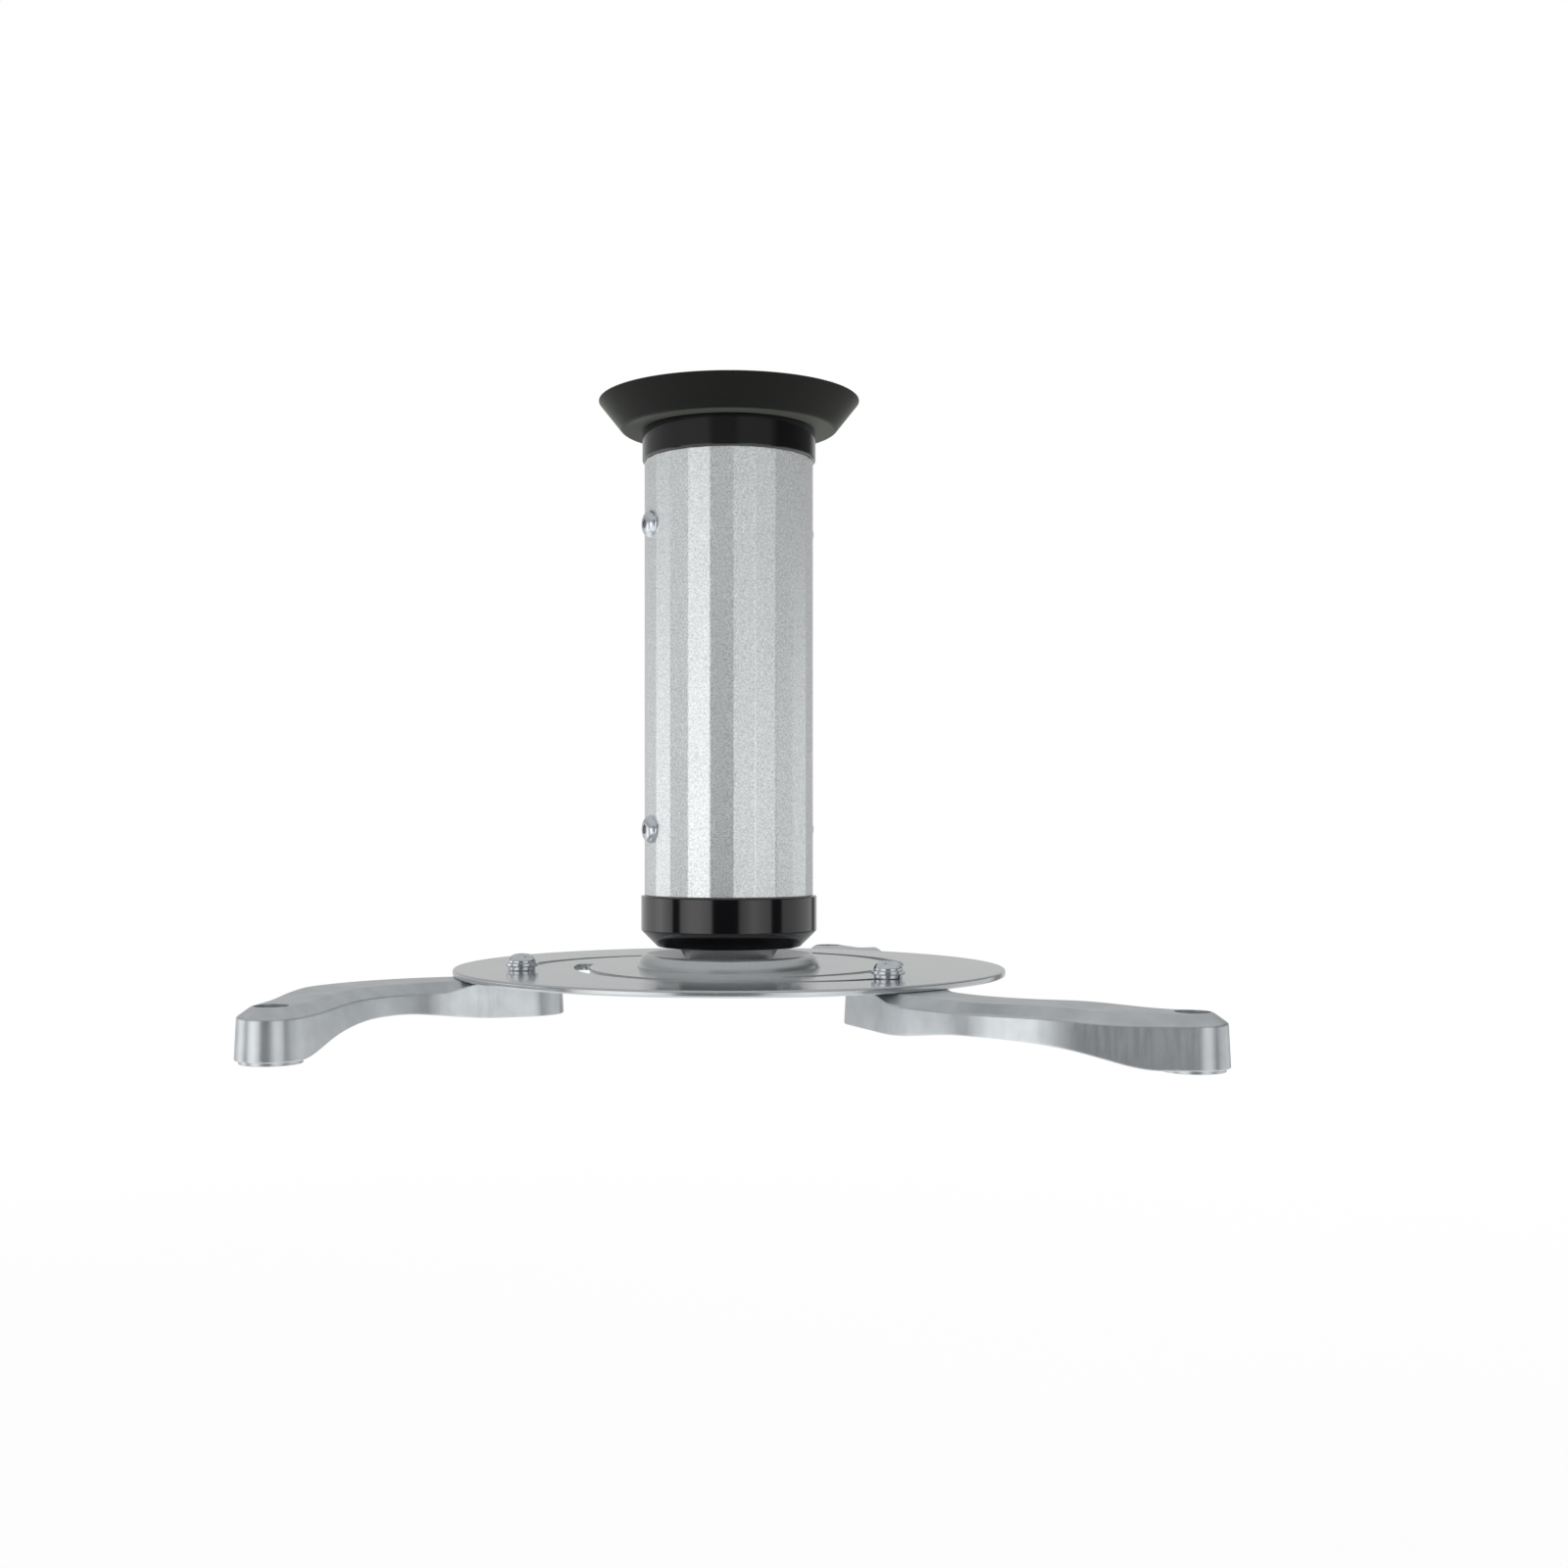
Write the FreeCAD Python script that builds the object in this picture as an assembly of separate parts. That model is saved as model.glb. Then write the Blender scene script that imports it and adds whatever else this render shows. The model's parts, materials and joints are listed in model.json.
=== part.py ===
import FreeCAD, Part
import math
import os

# Projector ceiling mount, in millimetres and degrees.
# The origin is the centre of the ceiling face, +Z is up, and everything hangs below it.

# Clearances
SLIP_FIT = 0.1            # radial, between parts pushed together for good
THREAD_FIT = 0.05         # radial, a screw in its tapped hole
RUNNING_FIT = 0.08        # radial, a shaft that turns in its bore
FACE_GAP = 0.05           # between flat faces that turn or slide on each other
BALL_FIT = 0.1            # radial, the ball in its two seats

CUT = 1.0                 # how far a cutting shape runs past the faces that it opens

# Ceiling plate and its screws
CEILING_PLATE_GAP = 1.8   # between the plate's edge and the cover round it
CEILING_PLATE_T = 3.0
CEILING_HOLE_D = 5.5
CEILING_HOLE_PCD = 64.0
CEILING_HOLE_COUNT = 4
CEILING_SINK_D = 10.4     # mouth of the countersink, on the room side
CEILING_HOLE_TURN = 45.0  # angle of the first hole
SPIGOT_SCREW_D = 4.0
SPIGOT_SCREW_HEAD_D = 7.6
SPIGOT_SCREW_L = 13.0
SPIGOT_SCREW_COUNT = 4

# Cover that hides the ceiling plate
COVER_FLOOR_W = 7.0       # flat floor outside the upper collar
COVER_FLARE = 8.0         # rim outside the floor
COVER_H = 10.0
COVER_WALL = 1.2

# Faceted tube and the ring on its upper end
TUBE_D = 58.0             # across the corners
TUBE_WALL = 3.0           # at the corners
TUBE_L = 148.8
TUBE_FACETS = 24
TUBE_TURN = 2.5           # angle of the first corner
UPPER_COLLAR_STEP = 0.75  # proud of the tube's corners
UPPER_COLLAR_H = 10.6
EDGE_BREAK = 0.4

# Spigot and plug inside the tube ends
SPIGOT_WALL = 6.0
SPIGOT_DEPTH = 33.0       # how far it reaches into the tube
PLUG_WALL = 7.8
PLUG_DEPTH = 32.0         # how far it reaches into the tube
PLUG_WEB = 6.0            # closed web over the joint

# Button head screws through the tube wall
SIDE_SCREW_D = 5.0
SIDE_SCREW_HEAD_D = 9.5
SIDE_SCREW_HEAD_H = 2.75
SIDE_SCREW_L = 9.0
SIDE_SCREW_HOLE_D = 5.3
SIDE_SCREW_SOCKET = 3.0   # across the flats
SIDE_SCREW_TURN = 25.0    # angle of the first of two opposed screws
UPPER_SCREW_INSET = 23.1  # from the tube's upper end
LOWER_SCREW_INSET = 22.7  # from the tube's lower end

# Ball joint
TILT_LIMIT = 15.0
BALL_D = 38.0
BALL_TOP_H = 14.0         # flat top over the pivot
PIVOT_OVER_RIM = 7.8      # pivot over the lower collar's rim
LOWER_COLLAR_STEP = 1.15  # proud of the tube's corners
LOWER_COLLAR_H = 17.4
LOWER_COLLAR_CHAMFER = 5.55
COLLAR_LEDGE_H = 1.8      # ledge inside the collar, over the pivot
TIGHTEN_ROOM = 0.8        # between the plug's nose and that ledge
UPPER_SEAT_WALL = 3.0     # at the ball's equator
UPPER_SEAT_H = 9.0
UPPER_SEAT_INSET = 0.4    # seat's lower face over the plug's nose
POCKET_ROOM = 1.0         # over the tilted ball
RIM_CLEARANCE = 0.8       # collar rim over the plate at full tilt

# Round mounting plate
MOUNTING_PLATE_D = 188.0
MOUNTING_PLATE_T = 2.2
PLATE_EDGE_R = 0.9
SLOT_OFFSET = 11.9        # slot circle's centre from the plate's centre
SLOT_OFFSET_TURN = -10.5
SLOT_R = 62.0
SLOT_W = 5.4
SLOT_FROM = 172.0         # inner end, an angle on the slot circle
SLOT_TO = 309.4           # outer end

# Ring round the joint, which stops the tilt
STOP_RING_SKIRT = 2.86    # outer foot outside the ridge
STOP_RING_W = 9.6         # bore to outer foot
STOP_RING_BULGE_R = 0.72  # where its outer side bulges, as shares of skirt and height
STOP_RING_BULGE_H = 0.52
STOP_RING_LIP = 0.5       # height at the bore
STOP_CLEARANCE = 0.4      # to the collar at full tilt
RING_SCREW_D = 3.0
RING_SCREW_HEAD_D = 5.6
RING_SCREW_INSET = 1.45   # screw line inside the ridge
RING_SCREW_COUNT = 3
RING_SCREW_TURN = 30.0
RING_SCREW_GRIP = 2.2     # thread in the ring

# Spigot and bolt that hang the plate on the ball
BALL_SPIGOT_D = 14.0
CENTRE_WASHER_D = 22.0
CENTRE_WASHER_T = 2.0
CENTRE_BOLT_D = 8.0
CENTRE_BOLT_L = 20.0
CENTRE_BOLT_HEAD_D = 14.0
CENTRE_BOLT_HEAD_H = 4.4
CENTRE_BOLT_SOCKET = 5.0
BOLT_HOLE_SPARE = 2.0     # drilled past the bolt's end

# Screw, flat washer and spring washer that clamp each arm
ARM_SCREW_D = 5.0
ARM_SCREW_HEAD_D = 9.4
ARM_SCREW_HEAD_H = 2.9
ARM_SCREW_SOCKET = 3.0
ARM_SCREW_REACH = 9.5     # into the arm
FLAT_WASHER_D = 10.8
FLAT_WASHER_T = 1.2
SPRING_WASHER_D = 9.0
SPRING_WASHER_T = 1.3
SPRING_WASHER_SPLIT = 0.8
SPRING_WASHER_SLANT = 25.0
SPRING_WASHER_TURN = -60.0
WASHER_FIT = 0.15         # radial, round the screw
SCREW_REST = 308.4        # where each screw stands on its slot circle

# Shape of the screw heads, as shares of their radius and height
HEAD_EDGE = 0.3
HEAD_CROWN = 0.56
HEAD_SHOULDER_R = 0.86
HEAD_SHOULDER_H = 0.8
CROSS_LENGTH = 0.5
CROSS_WIDTH = 0.14
CROSS_DEPTH = 0.6

# Cast arm: in plan a straight leg from its screw, a bend and a second leg to its far hole
ARM_NEAR_LEG = 24.0
ARM_BEND_R = 55.0
ARM_BEND = 58.0
ARM_FAR_LEG = 31.5
ARM_NEAR_R = 13.2
ARM_FAR_R = 9.5
ARM_DRAFT = 3.0

# Its side view: depths, and where they lie, from the screw or back from the far hole
ARM_NEAR_DEPTH = 12.0
ARM_NEAR_FLAT = 16.0
ARM_WAIST_DEPTH = 9.4
ARM_WAIST_BACK = 54.5
ARM_KNEE_DEPTH = 13.2
ARM_KNEE_BACK = 19.0
ARM_FAR_DEPTH = 17.2
ARM_FOOT_BACK = 3.0
ARM_TOP_FLAT_BACK = 36.0
ARM_TOP_DROP = 1.7
ARM_TOP_DROP_BACK = 7.0
ARM_BEVEL_W = 4.0
ARM_BEVEL_H = 3.0
ARM_PAD_R = 19.0          # unbevelled round pad under the plate
ARM_PAD_ANGLE = 14.0      # slope of the pad's fading edge
ARM_HOLE_D = 6.5
ARM_SINK_D = 10.3
ARM_SINK_DEPTH = 5.0
ARM_BOSS_D = 18.4         # thin round boss under the far hole
ARM_BOSS_H = 1.1

# How far the line from each arm's screw to its far hole is turned from the plate's radius
ARMS = {"right": 6.9, "back": 1.3, "left": 36.7}

# Levels, from the ceiling down
tube_top = -COVER_H - UPPER_COLLAR_H
tube_bottom = tube_top - TUBE_L
rim_z = tube_bottom - LOWER_COLLAR_H
pivot_z = rim_z + PIVOT_OVER_RIM
ball_r = BALL_D / 2
upper_collar_r = TUBE_D / 2 + UPPER_COLLAR_STEP
lower_collar_r = TUBE_D / 2 + LOWER_COLLAR_STEP
seat_r = ball_r + BALL_FIT
rim_r = lower_collar_r - LOWER_COLLAR_CHAMFER
tilt = math.radians(TILT_LIMIT)
plate_top = pivot_z - PIVOT_OVER_RIM * math.cos(tilt) - rim_r * math.sin(tilt) - RIM_CLEARANCE
plate_bottom = plate_top - MOUNTING_PLATE_T
arm_top = plate_bottom - FACE_GAP
bore_r = TUBE_D / 2 - TUBE_WALL
inner_r = bore_r - SLIP_FIT
facet_r = TUBE_D / 2 * math.cos(math.pi / TUBE_FACETS)
nose_z = pivot_z + COLLAR_LEDGE_H + TIGHTEN_ROOM

UP = FreeCAD.Vector(0, 0, 1)
ARM_SPREAD = math.tan(math.radians(ARM_DRAFT))
NEAR = 0.02               # how close counts as on a surface
ORIGIN = FreeCAD.Vector(0, 0, 0)


def polar(radius, angle, z=0.0):
    """A point at a radius and an angle in degrees round the Z axis."""
    turn = math.radians(angle)
    return FreeCAD.Vector(radius * math.cos(turn), radius * math.sin(turn), z)


def closed_wire(start, *steps):
    """A closed wire in the XZ plane. A step is a point, or a (middle, end) pair for an arc."""
    edges = []
    here = FreeCAD.Vector(start[0], 0, start[1])
    first = here
    for step in steps:
        if isinstance(step[0], tuple):
            middle = FreeCAD.Vector(step[0][0], 0, step[0][1])
            there = FreeCAD.Vector(step[1][0], 0, step[1][1])
            edges.append(Part.Arc(here, middle, there).toShape())
        else:
            there = FreeCAD.Vector(step[0], 0, step[1])
            edges.append(Part.makeLine(here, there))
        here = there
    if not here.isEqual(first, 1e-6):
        edges.append(Part.makeLine(here, first))
    return Part.Wire(edges)


def turned(start, *steps):
    """A solid turned about the Z axis from a profile of (radius, z) points."""
    face = Part.Face(closed_wire(start, *steps))
    return face.revolve(ORIGIN, UP, 360)


def rod(radius, low, high, at=ORIGIN):
    """An upright cylinder between two levels."""
    return Part.makeCylinder(radius, high - low, FreeCAD.Vector(at.x, at.y, low))


def hex_prism(across_flats, low, high):
    """An upright hexagonal prism for a socket."""
    corner_r = across_flats / math.sqrt(3)
    corners = [polar(corner_r, 60 * k, low) for k in range(7)]
    return Part.Face(Part.makePolygon(corners)).extrude(UP * (high - low))


def countersink(hole_d, mouth_d, mouth_z, way):
    """A 90 degree cone that opens to mouth_z; way is +1 for a mouth that faces up."""
    depth = (mouth_d - hole_d) / 2
    return turned((0, mouth_z), (mouth_d / 2, mouth_z), (hole_d / 2, mouth_z - way * depth),
                  (0, mouth_z - way * depth))


def round_pattern(shape, count, first_turn=0.0):
    """Copies of a shape at even angles round the Z axis."""
    copies = []
    for k in range(count):
        copy = shape.copy()
        copy.rotate(ORIGIN, UP, first_turn + 360.0 * k / count)
        copies.append(copy)
    return copies


def button_screw(size, head_d, head_h, length, socket):
    """A button head screw: its head stands on z = 0 and its shank hangs below."""
    head_r = head_d / 2
    edge_h = HEAD_EDGE * head_h
    crown_r = HEAD_CROWN * head_r
    middle = (HEAD_SHOULDER_R * head_r, HEAD_SHOULDER_H * head_h)
    screw = turned((0, -length), (size / 2 - EDGE_BREAK, -length), (size / 2, EDGE_BREAK - length),
                   (size / 2, 0), (head_r, 0), (head_r, edge_h), (middle, (crown_r, head_h)),
                   (0, head_h))
    return screw.cut(hex_prism(socket, edge_h, head_h + CUT))


def sunk_screw(size, head_d, length):
    """A countersunk screw whose flat head lies in z = 0, with a cross recess."""
    sink = (head_d - size) / 2
    screw = turned((0, 0), (head_d / 2, 0), (size / 2, -sink), (size / 2, -length), (0, -length))
    long = CROSS_LENGTH * head_d
    wide = CROSS_WIDTH * head_d
    bar = Part.makeBox(long, wide, sink)
    bar.translate(FreeCAD.Vector(-long / 2, -wide / 2, -CROSS_DEPTH * sink))
    cross = bar.copy()
    cross.rotate(ORIGIN, UP, 90)
    return screw.cut(bar).cut(cross)


def make_ceiling_plate():
    """Steel disc with countersunk ceiling holes and the holes of the spigot's screws."""
    edge_r = cover_inner_r(-CEILING_PLATE_T) - CEILING_PLATE_GAP
    plate = rod(edge_r, -CEILING_PLATE_T, 0)
    hole = rod(CEILING_HOLE_D / 2, -CEILING_PLATE_T - CUT, CUT)
    hole = hole.fuse(countersink(CEILING_HOLE_D, CEILING_SINK_D, -CEILING_PLATE_T, -1))
    hole.translate(polar(CEILING_HOLE_PCD / 2, 0))
    own_hole = rod(SPIGOT_SCREW_D / 2 + SLIP_FIT, -CEILING_PLATE_T - CUT, CUT)
    own_sink = countersink(SPIGOT_SCREW_D + 2 * SLIP_FIT, SPIGOT_SCREW_HEAD_D + 2 * SLIP_FIT, 0, 1)
    own_hole = own_hole.fuse(own_sink)
    own_hole.translate(polar(spigot_screw_r(), 0))
    holes = round_pattern(hole, CEILING_HOLE_COUNT, CEILING_HOLE_TURN)
    return plate.cut(holes + round_pattern(own_hole, SPIGOT_SCREW_COUNT))


def spigot_screw_r():
    """The spigot's screws run down the middle of its wall."""
    return inner_r - SPIGOT_WALL / 2


def make_ceiling_spigot():
    """Thick ring under the ceiling plate that the tube's upper end slides over."""
    low = tube_top - SPIGOT_DEPTH
    spigot = turned((inner_r - SPIGOT_WALL, low), (inner_r - 2 * EDGE_BREAK, low),
                    (inner_r, low + 2 * EDGE_BREAK), (inner_r, -CEILING_PLATE_T),
                    (inner_r - SPIGOT_WALL, -CEILING_PLATE_T))
    tapped = rod(SPIGOT_SCREW_D / 2 + THREAD_FIT, -SPIGOT_SCREW_L - CUT, 0)
    tapped.translate(polar(spigot_screw_r(), 0))
    side = side_hole(SIDE_SCREW_D + 2 * THREAD_FIT, tube_top - UPPER_SCREW_INSET)
    return spigot.cut(round_pattern(tapped, SPIGOT_SCREW_COUNT) + [side])


def make_spigot_screws():
    """Countersunk screws, flush with the ceiling face."""
    screw = sunk_screw(SPIGOT_SCREW_D, SPIGOT_SCREW_HEAD_D, SPIGOT_SCREW_L)
    screw.translate(polar(spigot_screw_r(), 0))
    return Part.makeCompound(round_pattern(screw, SPIGOT_SCREW_COUNT))


def cover_slope():
    """Angle of the cover's side from level."""
    return math.atan2(COVER_H, COVER_FLARE)


def cover_inner_r(z):
    """Radius of the cover's inner side at a level."""
    rim = upper_collar_r + COVER_FLOOR_W + COVER_FLARE
    return rim - COVER_WALL / math.sin(cover_slope()) + z / math.tan(cover_slope())


def make_ceiling_cover():
    """Shallow dish round the ceiling plate, open where the spigot comes through."""
    floor_r = upper_collar_r + COVER_FLOOR_W
    inner_floor = COVER_WALL - COVER_H
    hole_r = inner_r + SLIP_FIT
    return turned((hole_r, -COVER_H), (floor_r - EDGE_BREAK, -COVER_H),
                  (floor_r + EDGE_BREAK / 2, EDGE_BREAK - COVER_H), (floor_r + COVER_FLARE, 0),
                  (cover_inner_r(0), 0), (cover_inner_r(inner_floor), inner_floor),
                  (hole_r, inner_floor))


def make_upper_collar():
    """Black ring between the cover and the tube."""
    return turned((bore_r, tube_top), (upper_collar_r - EDGE_BREAK, tube_top),
                  (upper_collar_r, tube_top + EDGE_BREAK),
                  (upper_collar_r, -COVER_H - EDGE_BREAK),
                  (upper_collar_r - EDGE_BREAK, -COVER_H), (bore_r, -COVER_H))


def side_hole(diameter, z):
    """A hole right across the tube along the line of two opposed screws."""
    start = FreeCAD.Vector(-TUBE_D / 2 - CUT, 0, z)
    across = Part.makeCylinder(diameter / 2, TUBE_D + 2 * CUT, start, FreeCAD.Vector(1, 0, 0))
    across.rotate(ORIGIN, UP, SIDE_SCREW_TURN)
    return across


def make_tube():
    """Tube with a round bore and flat facets outside."""
    corners = [polar(TUBE_D / 2, TUBE_TURN + 360.0 * k / TUBE_FACETS, tube_bottom)
               for k in range(TUBE_FACETS + 1)]
    tube = Part.Face(Part.makePolygon(corners)).extrude(UP * TUBE_L)
    upper = side_hole(SIDE_SCREW_HOLE_D, tube_top - UPPER_SCREW_INSET)
    lower = side_hole(SIDE_SCREW_HOLE_D, tube_bottom + LOWER_SCREW_INSET)
    return tube.cut([rod(bore_r, tube_bottom - CUT, tube_top + CUT), upper, lower])


def make_side_screws(z):
    """Two opposed button head screws on the tube's flats."""
    screw = button_screw(SIDE_SCREW_D, SIDE_SCREW_HEAD_D, SIDE_SCREW_HEAD_H, SIDE_SCREW_L,
                         SIDE_SCREW_SOCKET)
    screw.rotate(ORIGIN, FreeCAD.Vector(0, 1, 0), 90)
    screw.translate(FreeCAD.Vector(facet_r, 0, z))
    return Part.makeCompound(round_pattern(screw, 2, SIDE_SCREW_TURN))


def pocket_top():
    """Roof over the ball: the corner of its flat top swings this high at full tilt."""
    corner = math.acos(BALL_TOP_H / ball_r)
    return pivot_z + ball_r * math.cos(max(0.0, corner - tilt)) + POCKET_ROOM


def seat_top():
    """Upper face of the upper seat, against the shoulder in the plug."""
    return nose_z + UPPER_SEAT_INSET + UPPER_SEAT_H


def seat_mouth(z):
    """Radius of the spherical seat at a level."""
    return math.sqrt(seat_r ** 2 - (z - pivot_z) ** 2)


def make_lower_plug():
    """Plug in the tube's lower end, with the pocket of the upper seat in its nose."""
    high = tube_bottom + PLUG_DEPTH
    pocket_r = seat_r + UPPER_SEAT_WALL + RUNNING_FIT
    shoulder = seat_top() + FACE_GAP
    neck_r = seat_mouth(seat_top()) + BALL_FIT
    web = pocket_top() + PLUG_WEB
    cup_r = inner_r - PLUG_WALL
    plug = turned((0, pocket_top()), (neck_r, pocket_top()), (neck_r, shoulder),
                  (pocket_r, shoulder), (pocket_r, nose_z), (inner_r, nose_z),
                  (inner_r, high - 2 * EDGE_BREAK), (inner_r - 2 * EDGE_BREAK, high),
                  (cup_r, high), (cup_r, web), (0, web))
    return plug.cut(side_hole(SIDE_SCREW_D + 2 * THREAD_FIT, tube_bottom + LOWER_SCREW_INSET))


def make_lower_collar():
    """Black clamping collar: threaded on the plug's nose, with the ball's lower seat."""
    outer = lower_collar_r
    ledge = pivot_z + COLLAR_LEDGE_H
    half_z = pivot_z - PIVOT_OVER_RIM / 2
    middle = (seat_mouth(half_z), half_z)
    return turned((bore_r, tube_bottom), (outer - EDGE_BREAK, tube_bottom),
                  (outer, tube_bottom - EDGE_BREAK), (outer, rim_z + LOWER_COLLAR_CHAMFER),
                  (rim_r, rim_z), (seat_mouth(rim_z), rim_z), (middle, (seat_r, pivot_z)),
                  (seat_r, ledge), (bore_r, ledge))


def make_upper_seat():
    """Friction ring that presses on the ball over its equator and turns with its heading."""
    low = nose_z + UPPER_SEAT_INSET
    high = seat_top()
    centre = (low + high) / 2
    outer = seat_r + UPPER_SEAT_WALL
    return turned((seat_mouth(low), low), (outer, low), (outer, high),
                  (seat_mouth(high), high), ((seat_mouth(centre), centre), (seat_mouth(low), low)))


def make_ball():
    """Ball with a flat top, a flat seat for the plate and a spigot through it."""
    seat_z = plate_top + FACE_GAP
    end_z = plate_bottom - FACE_GAP
    top_z = pivot_z + BALL_TOP_H
    flat_r = math.sqrt(ball_r ** 2 - (seat_z - pivot_z) ** 2)
    top_r = math.sqrt(ball_r ** 2 - BALL_TOP_H ** 2)
    spigot_r = BALL_SPIGOT_D / 2
    tapped_r = CENTRE_BOLT_D / 2 + THREAD_FIT
    drill_z = end_z - CENTRE_WASHER_T + CENTRE_BOLT_L + BOLT_HOLE_SPARE
    return turned((tapped_r, end_z), (spigot_r, end_z), (spigot_r, seat_z), (flat_r, seat_z),
                  ((ball_r, pivot_z), (top_r, top_z)), (0, top_z), (0, drill_z),
                  (tapped_r, drill_z))


def make_centre_washer():
    """Thick washer under the plate."""
    high = plate_bottom - FACE_GAP
    washer = rod(CENTRE_WASHER_D / 2, high - CENTRE_WASHER_T, high)
    return washer.cut(rod(CENTRE_BOLT_D / 2 + SLIP_FIT, high - CENTRE_WASHER_T - CUT, high + CUT))


def make_centre_bolt():
    """Button head bolt from below into the ball."""
    bolt = button_screw(CENTRE_BOLT_D, CENTRE_BOLT_HEAD_D, CENTRE_BOLT_HEAD_H, CENTRE_BOLT_L,
                        CENTRE_BOLT_SOCKET)
    bolt.rotate(ORIGIN, FreeCAD.Vector(1, 0, 0), 180)
    bolt.translate(UP * (plate_bottom - FACE_GAP - CENTRE_WASHER_T))
    return bolt


def slot_cutter(low, high):
    """The first curved slot, as a solid between two levels."""
    half = SLOT_W / 2
    centre = polar(SLOT_OFFSET, SLOT_OFFSET_TURN, low)
    between = (SLOT_FROM + SLOT_TO) / 2
    round_end = math.degrees(half / SLOT_R)
    outer = [centre + polar(SLOT_R + half, a) for a in (SLOT_FROM, between, SLOT_TO)]
    inner = [centre + polar(SLOT_R - half, a) for a in (SLOT_TO, between, SLOT_FROM)]
    outer_tip = centre + polar(SLOT_R, SLOT_TO + round_end)
    inner_tip = centre + polar(SLOT_R, SLOT_FROM - round_end)
    edges = [Part.Arc(*outer).toShape(), Part.Arc(outer[2], outer_tip, inner[0]).toShape(),
             Part.Arc(*inner).toShape(), Part.Arc(inner[2], inner_tip, outer[0]).toShape()]
    return Part.Face(Part.Wire(edges)).extrude(UP * (high - low))


def ring_line():
    """The collar's chamfer at full tilt, lowered by the clearance, as two (radius, z) points."""
    points = []
    tilted_slope = math.pi / 4 - tilt
    for radius, drop in ((rim_r, PIVOT_OVER_RIM),
                         (lower_collar_r, PIVOT_OVER_RIM - LOWER_COLLAR_CHAMFER)):
        r = radius * math.cos(tilt) - drop * math.sin(tilt)
        z = pivot_z - drop * math.cos(tilt) - radius * math.sin(tilt)
        points.append((r + STOP_CLEARANCE * math.sin(tilted_slope),
                       z - STOP_CLEARANCE * math.cos(tilted_slope)))
    return points


def ring_height(radius):
    """Level of the stop ring's inner slope at a radius."""
    (r0, z0), (r1, z1) = ring_line()
    return z0 + (z1 - z0) * (radius - r0) / (r1 - r0)


def make_stop_ring():
    """Ring round the joint: the collar's chamfer comes down on its inner slope."""
    ridge_r, ridge_z = ring_line()[1]
    outer = ridge_r + STOP_RING_SKIRT
    bore = outer - STOP_RING_W
    lip_z = plate_top + STOP_RING_LIP
    slope_r = bore + STOP_RING_LIP / 2
    lip_z = min(lip_z, ring_height(slope_r))
    height = ridge_z - plate_top
    shoulder = (ridge_r + STOP_RING_BULGE_R * (outer - ridge_r),
                plate_top + STOP_RING_BULGE_H * height)
    ring = turned((bore, plate_top), (outer, plate_top), (shoulder, (ridge_r, ridge_z)),
                  (slope_r, lip_z), (bore, lip_z))
    tapped = rod(RING_SCREW_D / 2 + THREAD_FIT, plate_top - CUT, plate_top + RING_SCREW_GRIP)
    tapped.translate(polar(ridge_r - RING_SCREW_INSET, 0))
    return ring.cut(round_pattern(tapped, RING_SCREW_COUNT, RING_SCREW_TURN))


def make_ring_screws():
    """Countersunk screws from below that hold the stop ring."""
    length = MOUNTING_PLATE_T + RING_SCREW_GRIP
    screw = sunk_screw(RING_SCREW_D, RING_SCREW_HEAD_D, length)
    screw.rotate(ORIGIN, FreeCAD.Vector(1, 0, 0), 180)
    screw.translate(polar(ring_line()[1][0] - RING_SCREW_INSET, 0, plate_bottom))
    return Part.makeCompound(round_pattern(screw, RING_SCREW_COUNT, RING_SCREW_TURN))


def make_mounting_plate():
    """Round plate with three curved slots, hung on the ball's spigot."""
    outer = MOUNTING_PLATE_D / 2
    r = PLATE_EDGE_R
    nip = r * (1 - math.sqrt(0.5))
    hole_r = BALL_SPIGOT_D / 2 + RUNNING_FIT
    plate = turned((hole_r, plate_bottom), (outer - r, plate_bottom),
                   ((outer - nip, plate_bottom + nip), (outer, plate_bottom + r)),
                   (outer, plate_top - r), ((outer - nip, plate_top - nip), (outer - r, plate_top)),
                   (hole_r, plate_top))
    own_hole = rod(RING_SCREW_D / 2 + SLIP_FIT, plate_bottom - CUT, plate_top + CUT)
    own_sink = countersink(RING_SCREW_D + 2 * SLIP_FIT, RING_SCREW_HEAD_D + 2 * SLIP_FIT,
                           plate_bottom, -1)
    own_hole = own_hole.fuse(own_sink)
    own_hole.translate(polar(ring_line()[1][0] - RING_SCREW_INSET, 0))
    slots = round_pattern(slot_cutter(plate_bottom - CUT, plate_top + CUT), len(ARMS))
    return plate.cut(slots + round_pattern(own_hole, RING_SCREW_COUNT, RING_SCREW_TURN))


def screw_place(index):
    """Where an arm's screw stands in its slot, seen from above."""
    place = polar(SLOT_OFFSET, SLOT_OFFSET_TURN) + polar(SLOT_R, SCREW_REST)
    turn = 360.0 * index / len(ARMS)
    return FreeCAD.Rotation(UP, turn).multVec(place)


def make_spring_washer():
    """Split ring with a slanted gap."""
    low = plate_top + FACE_GAP
    hole_r = ARM_SCREW_D / 2 + WASHER_FIT
    outer = SPRING_WASHER_D / 2
    high = low + SPRING_WASHER_T
    ring = rod(outer, low, high).cut(rod(hole_r, low - CUT, high + CUT))
    gap = Part.makeBox(outer + CUT, SPRING_WASHER_SPLIT, 4 * SPRING_WASHER_T,
                       FreeCAD.Vector(0, -SPRING_WASHER_SPLIT / 2, -2 * SPRING_WASHER_T))
    gap.rotate(ORIGIN, FreeCAD.Vector(1, 0, 0), SPRING_WASHER_SLANT)
    gap.rotate(ORIGIN, UP, SPRING_WASHER_TURN)
    gap.translate(UP * (low + SPRING_WASHER_T / 2))
    return ring.cut(gap)


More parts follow.
